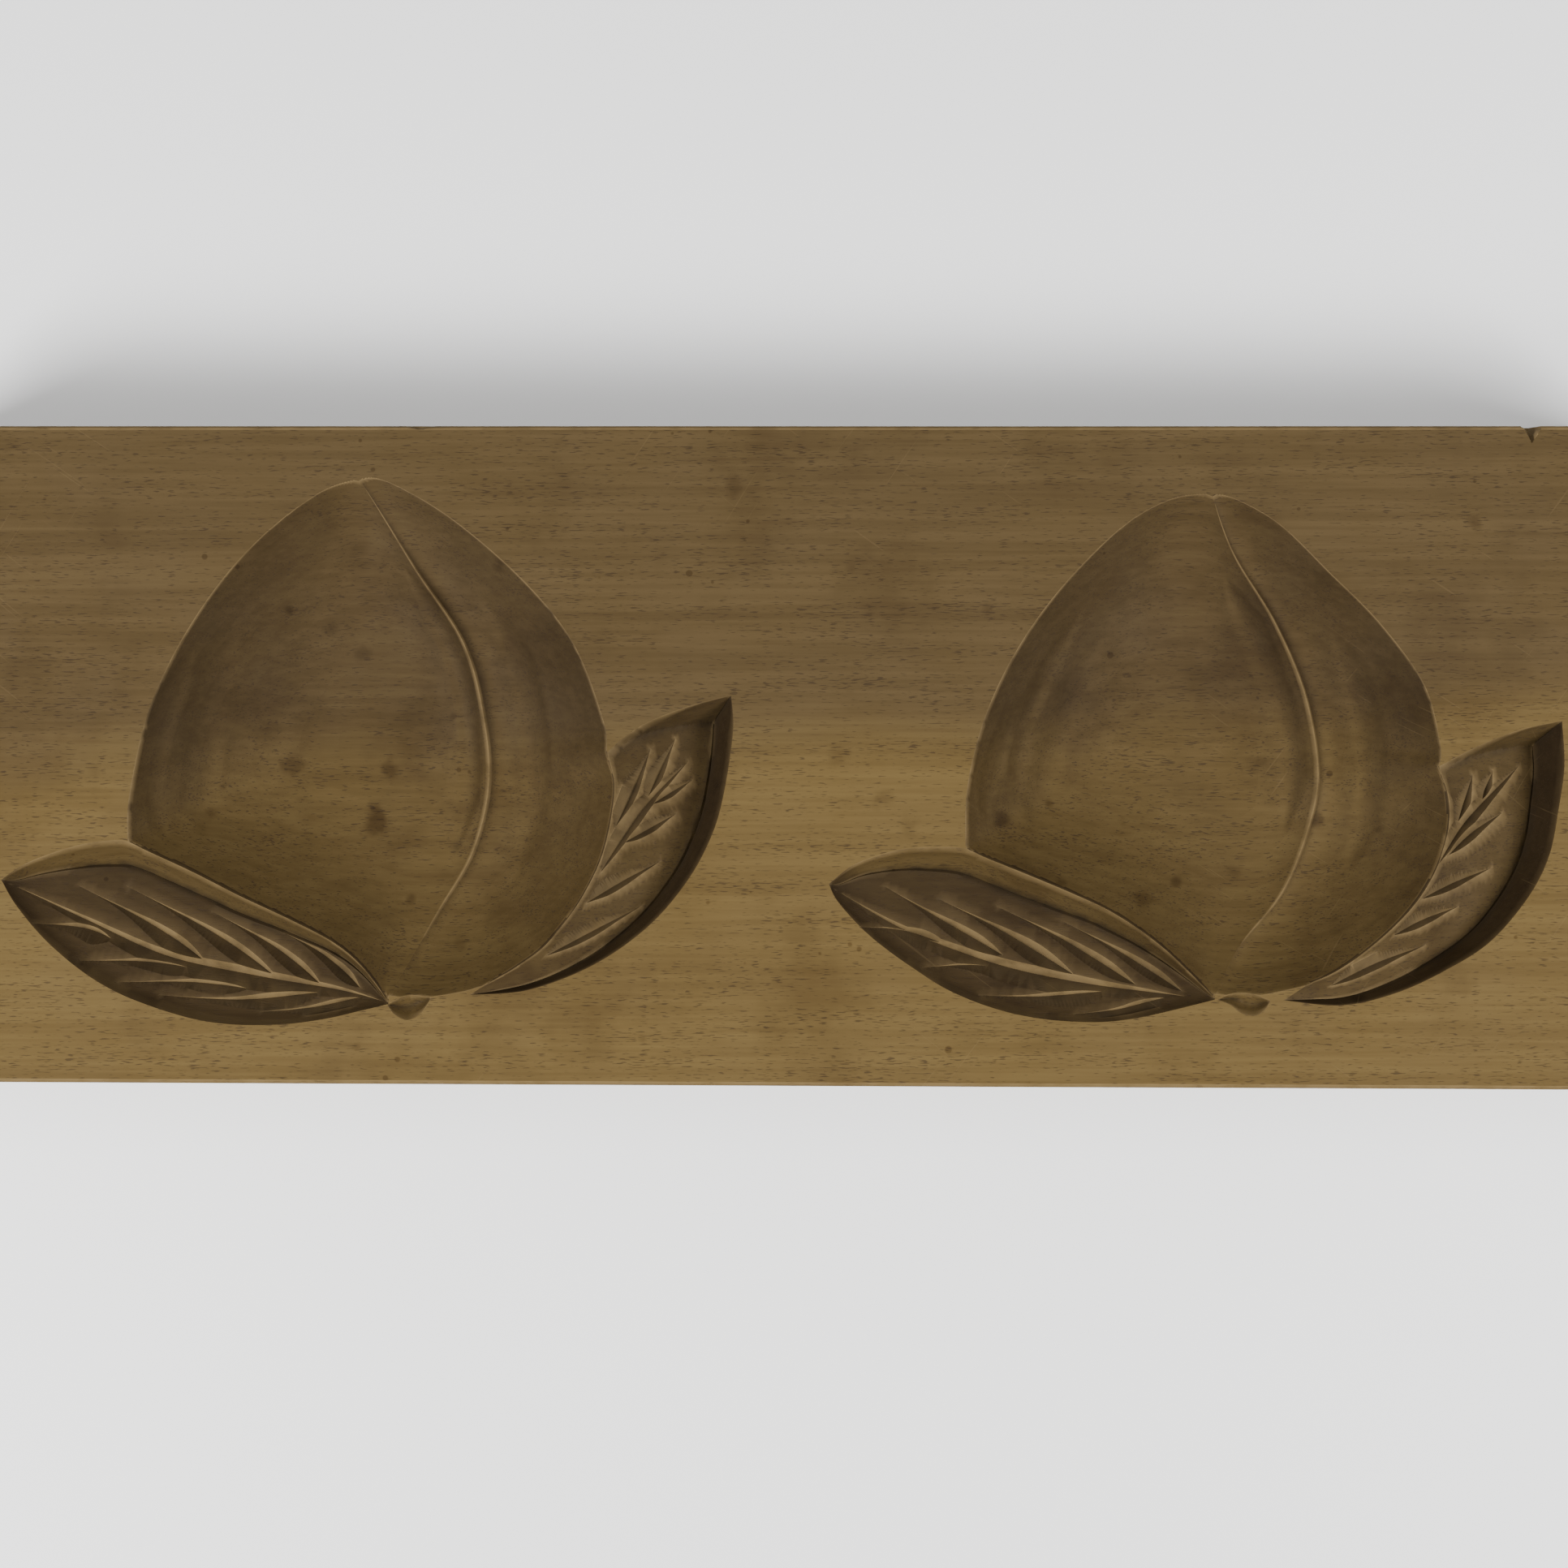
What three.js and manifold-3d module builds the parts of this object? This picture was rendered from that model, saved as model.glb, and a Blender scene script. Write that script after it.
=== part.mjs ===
// A two-part wooden sweet mould: a thick board carved with two peaches and their leaves, and the
// open frame board that goes with it, stored beneath it on two locating pegs.
//
// Millimetres, +Z up, +X along the boards. The origin is the centre of the footprint on the table.
import * as THREE from "three";
import { mergeVertices } from "three/addons/utils/BufferGeometryUtils.js";
import Module from "manifold-3d";

const wasm = await Module();
wasm.setup();

// ---------------------------------------------------------------------------------------------
// Driving dimensions
// ---------------------------------------------------------------------------------------------

const motifWidth = 155; // one peach with its two leaves, tip to tip
const motifGap = 21; // plain wood left between the two motifs
const endMargin = 34.5; // plain wood past each outer leaf tip
const rimBack = 10.5; // plain wood behind the fruit tips
const rimFront = 13; // plain wood in front of the lower leaves
const frontTaper = 2; // how much wider the boards are at the right end

const carvedThickness = 33;
const bowlDepth = 19; // the peach at its deepest
const bowlReach = 44; // from the rim to where the bowl is at full depth
const sutureHeight = 3.6; // the ridge that makes the fruit's cleft
const sutureLeftReach = 2.4; // how far the ridge takes to fall away on its left
const sutureRightReach = 7;
const ridgeSink = 1.1; // how far a crest between two hollows lies past the hollow's own edge
const veinSlope = 0.85; // depth of a vein cut against its half width
const stalkDepth = 3;
const lipWidth = 1.5; // over which a leaf's soft edge rounds down into its floor
const stalkSlope = 1.5; // depth of the stalk's cut against the distance from its outline

// Damage on the carved board's back edge: where it is, how wide, how far in and how far down
const splitChip = { x: 158, width: 6, reach: 3.6, height: 5 };
const thinChip = { x: -77, width: 13, reach: 0.9, height: 1.5 };

const frameThickness = 12;
const boardGap = 0.3; // air between the two boards where they lie together

const pegRadius = 3.5;
const pegInset = 16; // from the board's end to the peg's axis
const pegReach = 12; // how far a peg stands up out of the frame board
const socketFloor = 2; // wood left under a peg's foot
const pegTip = 1.2; // the eased end
const pegSocketGap = 0.3; // round the foot of a peg
const pegHoleClearance = 0.5; // round a peg in the carved board

// ---------------------------------------------------------------------------------------------
// The carving, drawn at its standard size. x runs from the middle of the fruit, y from the
// boards' centre line. Each hollow is drawn by the curves that bound it.
// ---------------------------------------------------------------------------------------------

const STANDARD_WIDTH = 155; // of the motifs as drawn here
const STANDARD_TOP = 59.5;
const STANDARD_BOTTOM = -57;
const FRUIT_TO_MIDDLE = 88; // from the fruit's centre line to the board's, as drawn
const STANDARD_GAP = 21;

const leftMotif = {
  side: -1,
  rimLeft: [
    [-2.5, 59.7], [-10.5, 56], [-22, 47], [-32, 36], [-41, 22], [-47.2, 7.5], [-50.7, -9], [-51, -18],
  ],
  ridgeLeft: [
    [-51, -18], [-38, -24], [-27, -29.6], [-16.6, -34.5], [-7.4, -39.4], [-1.3, -44.6], [4.3, -52],
  ],
  rimRight: [[-2.5, 59.7], [4.5, 58], [18, 50], [33, 37], [43.5, 23.7], [49.8, 7.4], [50.5, 0.7]],
  ridgeRight: [
    [50.5, 0.7], [51.3, -8], [49, -20], [45, -28.8], [40, -36], [33.8, -42.1], [22, -48.3], [4.3, -51],
  ],
  suture: [
    [-2.5, 59.7], [8.4, 40.8], [18.5, 25], [22.6, 9.9], [23.9, -5.2], [20.4, -20.4], [13, -33.9], [4.3, -51],
  ],
  leftLeaf: {
    deep: [[-77.7, -26.2], [-72, -22.5], [-62, -19], [-54, -17.8], [-51, -18]],
    soft: [
      [-77.7, -26.2], [-74.3, -32], [-67, -40.3], [-57, -48], [-47, -52.6], [-35, -56.1], [-22.7, -57],
      [-10.5, -55.9], [4.3, -52.5],
    ],
    wallSlope: [1.25, 2.1],
    lip: 2,
    tilt: 0.27,
    veins: [
      { half: 2.2, line: [[-76, -27.2], [-60.5, -35.2], [-44, -42.8], [-25, -47], [-7, -49.8], [3, -52]] },
      { half: 1.9, line: [[-62.5, -27.8], [-50, -34.6], [-35.5, -44]] },
      { half: 1.9, line: [[-53, -27.8], [-36, -37], [-20, -47.5]] },
      { half: 1.7, line: [[-35, -33.2], [-22, -40.4], [-10.4, -49]] },
      { half: 1.5, line: [[-20.4, -37.2], [-11, -42.2], [-2.2, -49.3]] },
      { half: 1.8, line: [[-71.5, -35.4], [-62, -36.6], [-55, -39.2]] },
      { half: 1.7, line: [[-62, -43.4], [-48, -43.9], [-36, -45.8]] },
      { half: 1.3, line: [[-53.6, -48], [-39, -48.2], [-26, -49.6]] },
      { half: 1.6, line: [[-45, -50.8], [-27, -51.9], [-10, -50.2]] },
      { half: 1.2, line: [[-23.4, -54.4], [-12, -53.4], [-2, -51.2]] },
    ],
  },
  rightLeaf: {
    deep: [[76.8, 12.8], [68, 10.6], [59, 7.1], [53.5, 3.4], [50.5, 0.7]],
    outer: [
      [76.8, 12.8], [77.2, 5], [75, -9.2], [72.1, -18.2], [67, -27.2], [59, -36.3], [47.7, -44.2],
      [34, -49.5], [21.4, -50.6],
    ],
    foot: [21.4, -50.6],
    wallSlope: [2, 2],
    lip: 0.4,
    tilt: 0.36,
    veins: [
      { half: 1.7, line: [[67.6, -1], [58, -11.2], [49, -24.8]] },
      { half: 1.6, line: [[59.6, 1.6], [56, -7], [52.2, -15.2]] },
      { half: 1.5, line: [[64.8, 3.8], [61.6, -3], [58.3, -10.2]] },
      { half: 1.2, line: [[68.5, -5], [64, -7.6], [60, -10.2]] },
      { half: 1.4, line: [[65.1, -12.2], [60, -15], [54, -18.4]] },
      { half: 1.5, line: [[61.7, -22.4], [54, -26.4], [46, -31.2]] },
      { half: 1.5, line: [[57.6, -32], [48.5, -36.6], [37.5, -42.4]] },
    ],
  },
  stalk: {
    upper: [[4, -52.6], [9, -50.2], [13.4, -51.2]],
    lower: [[4, -52.6], [7.8, -55.7], [13.4, -51.2]],
  },
};

const rightMotif = {
  side: 1,
  rimLeft: [
    [2, 56.6], [-6.4, 54.6], [-16.5, 48.5], [-29.1, 35.9], [-38.6, 22.7], [-45.4, 8.5], [-49.2, -6.5],
    [-49.6, -19.5],
  ],
  ridgeLeft: [
    [-49.6, -19.5], [-36.3, -24.9], [-26.6, -29], [-18.2, -33], [-9.1, -39.2], [-2, -45.7], [3.2, -51.2],
  ],
  rimRight: [
    [2, 56.6], [8, 54.4], [17.3, 48.8], [27.8, 38.6], [38.3, 28], [47.6, 15], [51, 2], [50.6, -2.2],
  ],
  ridgeRight: [
    [50.6, -2.2], [52.2, -12], [50.5, -21.1], [45.9, -29.8], [38.3, -37.8], [27, -45.8], [15, -49.2],
    [3.2, -50.6],
  ],
  suture: [
    [2, 56.6], [8, 43.9], [17.4, 29.2], [24.5, 14.2], [27.6, -0.9], [26.4, -13.9], [20.1, -29],
    [9.8, -40.7], [3.2, -50.6],
  ],
  leftLeaf: {
    deep: [[-78.5, -27.1], [-72.6, -22.7], [-63, -19.7], [-54, -19.2], [-49.6, -19.5]],
    soft: [
      [-78.5, -27.1], [-76.5, -31], [-70.7, -37.3], [-62.3, -43.8], [-52.5, -49.9], [-40.2, -54.4],
      [-27.3, -56.2], [-14.3, -55.7], [3.2, -51.6],
    ],
    wallSlope: [1.3, 2],
    lip: 2,
    tilt: 0.27,
    veins: [
      {
        half: 2.2,
        line: [[-77, -28.4], [-64.2, -36.1], [-51.2, -41.5], [-38.1, -45.7], [-22, -48.8], [-3, -51]],
      },
      { half: 1.9, line: [[-66.8, -27.6], [-55.6, -34.2], [-41.2, -42.5]] },
      { half: 1.9, line: [[-55.4, -30.3], [-41.6, -37.2], [-26, -46.7]] },
      { half: 1.7, line: [[-42.1, -32.3], [-28.6, -39], [-13, -48.7]] },
      { half: 1.5, line: [[-28.6, -35.2], [-16.8, -41.4], [-3.3, -50]] },
      { half: 1.7, line: [[-72, -36.2], [-62.4, -37.2], [-53.2, -40.3]] },
      { half: 1.7, line: [[-59, -44.9], [-47, -44.6], [-35.1, -46.1]] },
      { half: 1.6, line: [[-46.7, -50.8], [-32.5, -51.2], [-18, -50]] },
      { half: 1.3, line: [[-26.6, -54.8], [-16.6, -53.8], [-7.2, -51.4]] },
    ],
  },
  rightLeaf: {
    deep: [[76.7, 7.4], [68.3, 5.7], [59.3, 2.3], [50.6, -2.2]],
    outer: [
      [76.7, 7.4], [77.2, -2], [76, -11], [74, -21], [69.6, -29.8], [61.5, -39.3], [51.6, -45.6],
      [41.2, -50.3], [30, -52.8], [17.6, -51.7],
    ],
    foot: [17.6, -51.7],
    wallSlope: [2, 2],
    lip: 0.4,
    tilt: 0.36,
    veins: [
      { half: 1.7, line: [[69.6, -2], [57.6, -13.6], [50.6, -22.9]] },
      { half: 1.6, line: [[58.6, -3.8], [57, -9.4], [54.8, -15]] },
      { half: 1.5, line: [[63.4, -3], [62, -6.8], [60.6, -10.4]] },
      { half: 1.5, line: [[65.6, -12], [59.4, -15.8], [53, -21]] },
      { half: 1.4, line: [[63.2, -23.8], [55.6, -26.6], [47.2, -30.3]] },
      { half: 1.4, line: [[55.8, -32], [48.6, -34.6], [41.4, -38]] },
      { half: 1.6, line: [[48.8, -40.2], [38.6, -43.9], [28, -48.8]] },
    ],
  },
  stalk: {
    upper: [[3.6, -51.6], [9, -49.6], [15, -51.8]],
    lower: [[3.6, -51.6], [6.8, -52.4], [10.6, -54.8], [15, -51.8]],
  },
};

// ---------------------------------------------------------------------------------------------
// Sizes that follow
// ---------------------------------------------------------------------------------------------

const scale = motifWidth / STANDARD_WIDTH;
const boardLength = 2 * motifWidth + motifGap + 2 * endMargin;
const backEdge = STANDARD_TOP * scale + rimBack;
const frontEdge = STANDARD_BOTTOM * scale - rimFront;
const boardMiddle = (backEdge + frontEdge) / 2;
const carvedBase = frameThickness + boardGap;
const carvedFace = carvedBase + carvedThickness;
const pegX = boardLength / 2 - pegInset;

const LIFT = 4; // how far a cutter stands above the face that it cuts
const VEIN_LIFT = 0.9; // how far a vein's cutter stands above the floor that it cuts
const CURVE_STEPS = 60;
const FOOT_RUN = 6; // how much of the right crest is left out before the leaf's foot
const RISE_SHIFT = 0.12; // starts the cleft's ridge already raised
const RISE_POWER = 0.8; // brings the ridge's highest place towards its start

// ---------------------------------------------------------------------------------------------
// Curves
// ---------------------------------------------------------------------------------------------

// The drawn points of a motif, at the mould's size and place.
const placed = (motif, points) =>
  points.map(([x, y]) => {
    const gapShift = (motif.side * (motifGap - STANDARD_GAP * scale)) / 2;
    return new THREE.Vector2((x + motif.side * FRUIT_TO_MIDDLE) * scale + gapShift, y * scale);
  });

// Evenly spaced points of the smooth curve through the given ones.
const smooth = (points, steps = CURVE_STEPS) => new THREE.SplineCurve(points).getSpacedPoints(steps);

// A polyline moved sideways, to its left when the distance is positive, fading in from both ends.
const beside = (points, distance) =>
  points.map((p, i) => {
    const before = points[Math.max(0, i - 1)];
    const after = points[Math.min(points.length - 1, i + 1)];
    const along = after.clone().sub(before).normalize();
    const ends = Math.min(1, i / 4, (points.length - 1 - i) / 4);
    return new THREE.Vector2(p.x - along.y * distance * ends, p.y + along.x * distance * ends);
  });

// Even points along several polylines joined end to end.
const joined = (...lines) => {
  const path = new THREE.CurvePath();
  for (const line of lines)
    for (let i = 1; i < line.length; i++) path.add(new THREE.LineCurve(line[i - 1], line[i]));
  return path;
};

// The distance from a point to a polyline, which side it is on, and how far along it is nearest.
const nearest = (line, x, y) => {
  let best = { distance: Infinity, side: 1, share: 0 };
  for (let i = 1; i < line.length; i++) {
    const a = line[i - 1];
    const ex = line[i].x - a.x;
    const ey = line[i].y - a.y;
    const square = ex * ex + ey * ey || 1;
    const t = Math.min(1, Math.max(0, ((x - a.x) * ex + (y - a.y) * ey) / square));
    const dx = x - a.x - ex * t;
    const dy = y - a.y - ey * t;
    const distance = Math.hypot(dx, dy);
    if (distance < best.distance)
      best = { distance, side: Math.sign(ex * dy - ey * dx) || 1, share: (i - 1 + t) / (line.length - 1) };
  }
  return best;
};

// ---------------------------------------------------------------------------------------------
// Solids
// ---------------------------------------------------------------------------------------------

// A three.js geometry as a manifold-3d solid.
const solid = (geometry) => {
  const bare = geometry.clone();
  bare.deleteAttribute("normal");
  bare.deleteAttribute("uv");
  const merged = mergeVertices(bare, 1e-4);
  const index = merged.index.array;
  const kept = [];
  for (let i = 0; i < index.length; i += 3) {
    const [a, b, c] = [index[i], index[i + 1], index[i + 2]];
    if (a !== b && b !== c && c !== a) kept.push(a, b, c);
  }
  return new wasm.Manifold(
    new wasm.Mesh({
      numProp: 3,
      vertProperties: merged.attributes.position.array,
      triVerts: new Uint32Array(kept),
    }),
  );
};

// A manifold-3d solid as a three.js geometry with flat faces.
const geometryOf = (made) => {
  const mesh = made.getMesh();
  const shared = new THREE.BufferGeometry();
  shared.setAttribute("position", new THREE.BufferAttribute(mesh.vertProperties, 3));
  shared.setIndex(new THREE.BufferAttribute(mesh.triVerts, 1));
  const flat = shared.toNonIndexed();
  flat.computeVertexNormals();
  return flat;
};

// A closed cutter: rows of underside points, each row from left to right, with a level top.
const cutterFromRows = (rows, top) => {
  const positions = [];
  const add = (...points) => points.forEach((p) => positions.push(p.x, p.y, p.z));
  const raised = (p) => new THREE.Vector3(p.x, p.y, top);
  const quad = (a, b, c, d) => add(a, b, c, a, c, d);
  const last = rows.length - 1;
  const edge = rows[0].length - 1;
  for (let r = 0; r < last; r++) {
    for (let c = 0; c < edge; c++) {
      const [a, b] = [rows[r][c], rows[r][c + 1]];
      const [d, e] = [rows[r + 1][c], rows[r + 1][c + 1]];
      quad(a, b, e, d);
      quad(raised(a), raised(d), raised(e), raised(b));
    }
    quad(rows[r][0], rows[r + 1][0], raised(rows[r + 1][0]), raised(rows[r][0]));
    quad(rows[r + 1][edge], rows[r][edge], raised(rows[r][edge]), raised(rows[r + 1][edge]));
  }
  for (let c = 0; c < edge; c++) {
    quad(rows[0][c + 1], rows[0][c], raised(rows[0][c]), raised(rows[0][c + 1]));
    quad(rows[last][c], rows[last][c + 1], raised(rows[last][c + 1]), raised(rows[last][c]));
  }
  const geometry = new THREE.BufferGeometry();
  geometry.setAttribute("position", new THREE.Float32BufferAttribute(positions, 3));
  return solid(geometry);
};

// Rows of points between two curves that run from one tip to the other, with a depth at each.
// Seen from above and looking towards the far tip, the first curve is on the right.
const rowsBetween = (first, second, shares, rowCount, depthAt) => {
  const rows = [];
  for (let r = 0; r <= rowCount; r++) {
    const along = 0.5 - 0.5 * Math.cos((Math.PI * r) / rowCount);
    const a = first.getPointAt(along);
    const b = second.getPointAt(along);
    rows.push(
      shares.map((t) => {
        const x = a.x + (b.x - a.x) * t;
        const y = a.y + (b.y - a.y) * t;
        return new THREE.Vector3(x, y, carvedFace - depthAt(x, y));
      }),
    );
  }
  return rows;
};

// ---------------------------------------------------------------------------------------------
// The hollows of one motif
// ---------------------------------------------------------------------------------------------

// The curves that bound a motif's hollows, as even polylines. Where a leaf meets the fruit, each
// hollow runs a little past their common crest, so the crest is where the two surfaces cross.
const curvesOf = (motif) => {
  const line = (points) => smooth(placed(motif, points));
  const ridgeLeft = line(motif.ridgeLeft);
  const ridgeRight = line(motif.ridgeRight);
  const foot = placed(motif, [motif.rightLeaf.foot])[0];
  const kept = ridgeRight.filter((p) => p.x > foot.x + FOOT_RUN * scale);
  return {
    rimLeft: line(motif.rimLeft),
    rimRight: line(motif.rimRight),
    fruitLeft: joined(line(motif.rimLeft), beside(ridgeLeft, -ridgeSink)),
    fruitRight: joined(line(motif.rimRight), beside(ridgeRight, ridgeSink)),
    suture: line(motif.suture),
    leftDeep: joined(line(motif.leftLeaf.deep), beside(ridgeLeft, ridgeSink / 3)),
    leftSoft: line(motif.leftLeaf.soft),
    rightUpper: line(motif.rightLeaf.deep),
    rightOuter: line(motif.rightLeaf.outer),
    rightRidge: [...kept, foot],
  };
};

// The fruit: a bowl that is steep at the rim, with the cleft standing in it as a ridge that falls
// gently to its left and steeply to its right, and fades towards the stalk.
const BOWL_CURVE = 2.6;
const fruitCutter = (curves) => {
  const left = curves.fruitLeft;
  const right = curves.fruitRight;
  const rim = [...left.getSpacedPoints(CURVE_STEPS), ...right.getSpacedPoints(CURVE_STEPS).reverse()];
  const depthAt = (x, y) => {
    const edge = nearest(rim, x, y).distance;
    const cleft = nearest(curves.suture, x, y);
    const bowl = bowlDepth * (1 - (1 - Math.min(1, edge / (bowlReach * scale))) ** BOWL_CURVE);
    const height = sutureHeight * Math.sin(Math.PI * Math.min(1, cleft.share + RISE_SHIFT) ** RISE_POWER);
    const reach = (cleft.side > 0 ? sutureLeftReach : sutureRightReach) * scale;
    return Math.max(0, bowl - Math.max(0, height) * Math.exp(-cleft.distance / reach));
  };
  const middle = joined(curves.suture);
  const lobe = [0, 0.05, 0.12, 0.22, 0.36, 0.55, 0.78, 1];
  const leftRows = rowsBetween(left, middle, lobe, 22, depthAt);
  const rightRows = rowsBetween(middle, right, lobe.map((t) => 1 - t).reverse(), 22, depthAt);
  return cutterFromRows(
    leftRows.map((row, r) => [...row, ...rightRows[r].slice(1)]),
    carvedFace + LIFT,
  );
};

// How deep a leaf is: a wall falls from its deep side, and its floor climbs to the soft side.
const leafDepth = (leaf, deep, soft) => (x, y) => {
  const wall = nearest(deep, x, y);
  const open = nearest(soft, x, y).distance;
  const slope = THREE.MathUtils.lerp(...leaf.wallSlope, wall.share);
  const floor = leaf.lip * (1 - Math.exp(-open / lipWidth)) + leaf.tilt * open;
  return Math.min(wall.distance * slope, floor);
};

// A V cut that follows the leaf's floor, shallow where it starts and where it ends.
const veinCutter = (motif, vein, depthAt) => {
  const line = new THREE.SplineCurve(placed(motif, vein.line));
  const stations = 8;
  const rings = [];
  for (let i = 0; i <= stations; i++) {
    const share = i / stations;
    const at = line.getPointAt(share);
    const along = line.getTangentAt(share);
    const half = vein.half * scale * Math.sin(Math.PI * share ** 1.2);
    const reach = half + VEIN_LIFT / veinSlope;
    const side = (sign) => {
      const x = at.x - along.y * reach * sign;
      const y = at.y + along.x * reach * sign;
      return new THREE.Vector3(x, y, carvedFace - depthAt(at.x, at.y) + VEIN_LIFT);
    };
    const bottom = new THREE.Vector3(at.x, at.y, carvedFace - depthAt(at.x, at.y) - half * veinSlope);
    rings.push([side(1), bottom, side(-1)]);
  }
  const positions = [];
  const add = (...points) => points.forEach((p) => positions.push(p.x, p.y, p.z));
  for (let i = 0; i < stations; i++)
    for (let k = 0; k < 3; k++) {
      const [a, b] = [rings[i][k], rings[i][(k + 1) % 3]];
      const [c, d] = [rings[i + 1][k], rings[i + 1][(k + 1) % 3]];
      add(a, c, d, a, d, b);
    }
  add(...rings[0]);
  add(...[...rings[stations]].reverse());
  const geometry = new THREE.BufferGeometry();
  geometry.setAttribute("position", new THREE.Float32BufferAttribute(positions, 3));
  return solid(geometry);
};

// A leaf's hollow with its veins.
const leafCutter = (motif, leaf, first, second, deep, soft) => {
  const depthAt = leafDepth(leaf, deep, soft);
  const shares = [0, 0.1, 0.2, 0.32, 0.48, 0.66, 0.84, 0.94, 1];
  let hollow = cutterFromRows(rowsBetween(first, second, shares, 20, depthAt), carvedFace + LIFT);
  for (const vein of leaf.veins) hollow = hollow.add(veinCutter(motif, vein, depthAt));
  return hollow;
};

const leftLeafCutter = (motif, curves) =>
  leafCutter(
    motif,
    motif.leftLeaf,
    joined(curves.leftSoft),
    curves.leftDeep,
    curves.leftDeep.getSpacedPoints(CURVE_STEPS),
    curves.leftSoft,
  );

const rightLeafCutter = (motif, curves) => {
  const deep = [...curves.rightUpper].reverse().concat(curves.rightOuter);
  const inner = joined(curves.rightUpper, beside(curves.rightRidge, ridgeSink / 3));
  return leafCutter(motif, motif.rightLeaf, inner, joined(curves.rightOuter), deep, curves.rightRidge);
};

// The short gouge cut that makes the fruit's stalk.
const stalkCutter = (motif) => {
  const upper = joined(smooth(placed(motif, motif.stalk.upper), 10));
  const lower = joined(smooth(placed(motif, motif.stalk.lower), 10));
  const outline = [...upper.getSpacedPoints(10), ...lower.getSpacedPoints(10).reverse()];
  const depthAt = (x, y) => Math.min(stalkDepth, stalkSlope * nearest(outline, x, y).distance);
  return cutterFromRows(rowsBetween(lower, upper, [0, 0.35, 0.65, 1], 8, depthAt), carvedFace + LIFT);
};

// ---------------------------------------------------------------------------------------------
// The pieces
// ---------------------------------------------------------------------------------------------

// A board standing on z = base. It is a little wider at its right end.
const boardBlank = (base, thickness) => {
  const half = boardLength / 2;
  const outline = new THREE.Shape([
    new THREE.Vector2(-half, frontEdge + frontTaper / 2),
    new THREE.Vector2(half, frontEdge - frontTaper / 2),
    new THREE.Vector2(half, backEdge),
    new THREE.Vector2(-half, backEdge),
  ]);
  const blank = new THREE.ExtrudeGeometry(outline, { depth: thickness, bevelEnabled: false });
  return solid(blank.translate(0, 0, base));
};

// An upright round cutter for a peg's hole, on the boards' middle line.
const pegHole = (x, radius, from, to) => {
  const hole = new THREE.CylinderGeometry(radius, radius, to - from, 24);
  return solid(hole.rotateX(Math.PI / 2).translate(x, boardMiddle, (from + to) / 2));
};

// A three-sided chip out of the back edge of the carved board.
const edgeChip = ({ x, width, reach, height }) => {
  const notch = new THREE.Shape([
    new THREE.Vector2(x * scale - width / 2, backEdge + 1),
    new THREE.Vector2(x * scale - width * 0.1, backEdge - reach),
    new THREE.Vector2(x * scale + width / 2, backEdge + 1),
  ]);
  const chip = new THREE.ExtrudeGeometry(notch, { depth: height + LIFT, bevelEnabled: false });
  return solid(chip.translate(0, 0, carvedFace - height));
};

const carvedBoard = () => {
  let board = boardBlank(carvedBase, carvedThickness);
  for (const motif of [leftMotif, rightMotif]) {
    const curves = curvesOf(motif);
    board = board.subtract(fruitCutter(curves));
    board = board.subtract(leftLeafCutter(motif, curves));
    board = board.subtract(rightLeafCutter(motif, curves));
    board = board.subtract(stalkCutter(motif));
  }
  const holeRadius = pegRadius + pegHoleClearance;
  for (const x of [-pegX, pegX])
    board = board.subtract(pegHole(x, holeRadius, carvedBase - LIFT, carvedFace + LIFT));
  for (const chip of [splitChip, thinChip]) board = board.subtract(edgeChip(chip));
  return geometryOf(board);
};

// The outline of one whole motif, fruit and leaves together.
const silhouette = (curves) => [
  ...curves.rimLeft,
  ...curves.leftDeep.getSpacedPoints(CURVE_STEPS).filter((p) => p.x < curves.rimLeft.at(-1).x).reverse(),
  ...curves.leftSoft,
  ...[...curves.rightOuter].reverse(),
  ...curves.rightUpper,
  ...[...curves.rimRight].reverse(),
];

// The frame board is made the way up that it is used, then turned over about its long axis.
const frameBoard = () => {
  let board = boardBlank(0, frameThickness);
  for (const motif of [leftMotif, rightMotif]) {
    const outline = new THREE.Shape(smooth(thinned(silhouette(curvesOf(motif))), 96));
    const depth = frameThickness + 2 * LIFT;
    const opening = new THREE.ExtrudeGeometry(outline, { depth, bevelEnabled: false });
    board = board.subtract(solid(opening.translate(0, 0, -LIFT)));
  }
  for (const x of [-pegX, pegX])
    board = board.subtract(pegHole(x, pegRadius + pegSocketGap, -LIFT, frameThickness - socketFloor));
  const turned = geometryOf(board).rotateX(Math.PI);
  return turned.translate(0, 2 * boardMiddle, frameThickness);
};

// The points of a polyline that are at least a step apart.
const OUTLINE_STEP = 2.5;
const thinned = (points) => {
  const kept = [points[0]];
  for (const p of points) if (p.distanceTo(kept.at(-1)) > OUTLINE_STEP * scale) kept.push(p);
  return kept;
};

const locatingPeg = () => {
  const foot = socketFloor + pegSocketGap;
  const top = frameThickness + pegReach;
  const profile = [
    new THREE.Vector2(0, foot),
    new THREE.Vector2(pegRadius, foot),
    new THREE.Vector2(pegRadius, top - pegTip),
    new THREE.Vector2(pegRadius - pegTip, top),
    new THREE.Vector2(0, top),
  ];
  return new THREE.LatheGeometry(profile, 24).rotateX(Math.PI / 2);
};

// ---------------------------------------------------------------------------------------------
// The mould
// ---------------------------------------------------------------------------------------------

const boardWood = new THREE.MeshStandardMaterial({ color: 0x8a7048, roughness: 0.72, metalness: 0 });
const frameWood = new THREE.MeshStandardMaterial({ color: 0x7d6542, roughness: 0.75, metalness: 0 });
const pegWood = new THREE.MeshStandardMaterial({ color: 0x9c8455, roughness: 0.6, metalness: 0 });

const mould = new THREE.Group();

const addPiece = (name, geometry, material, x, y) => {
  const piece = new THREE.Mesh(geometry, material);
  piece.name = name;
  piece.position.set(x, y, 0);
  mould.add(piece);
};

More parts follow.
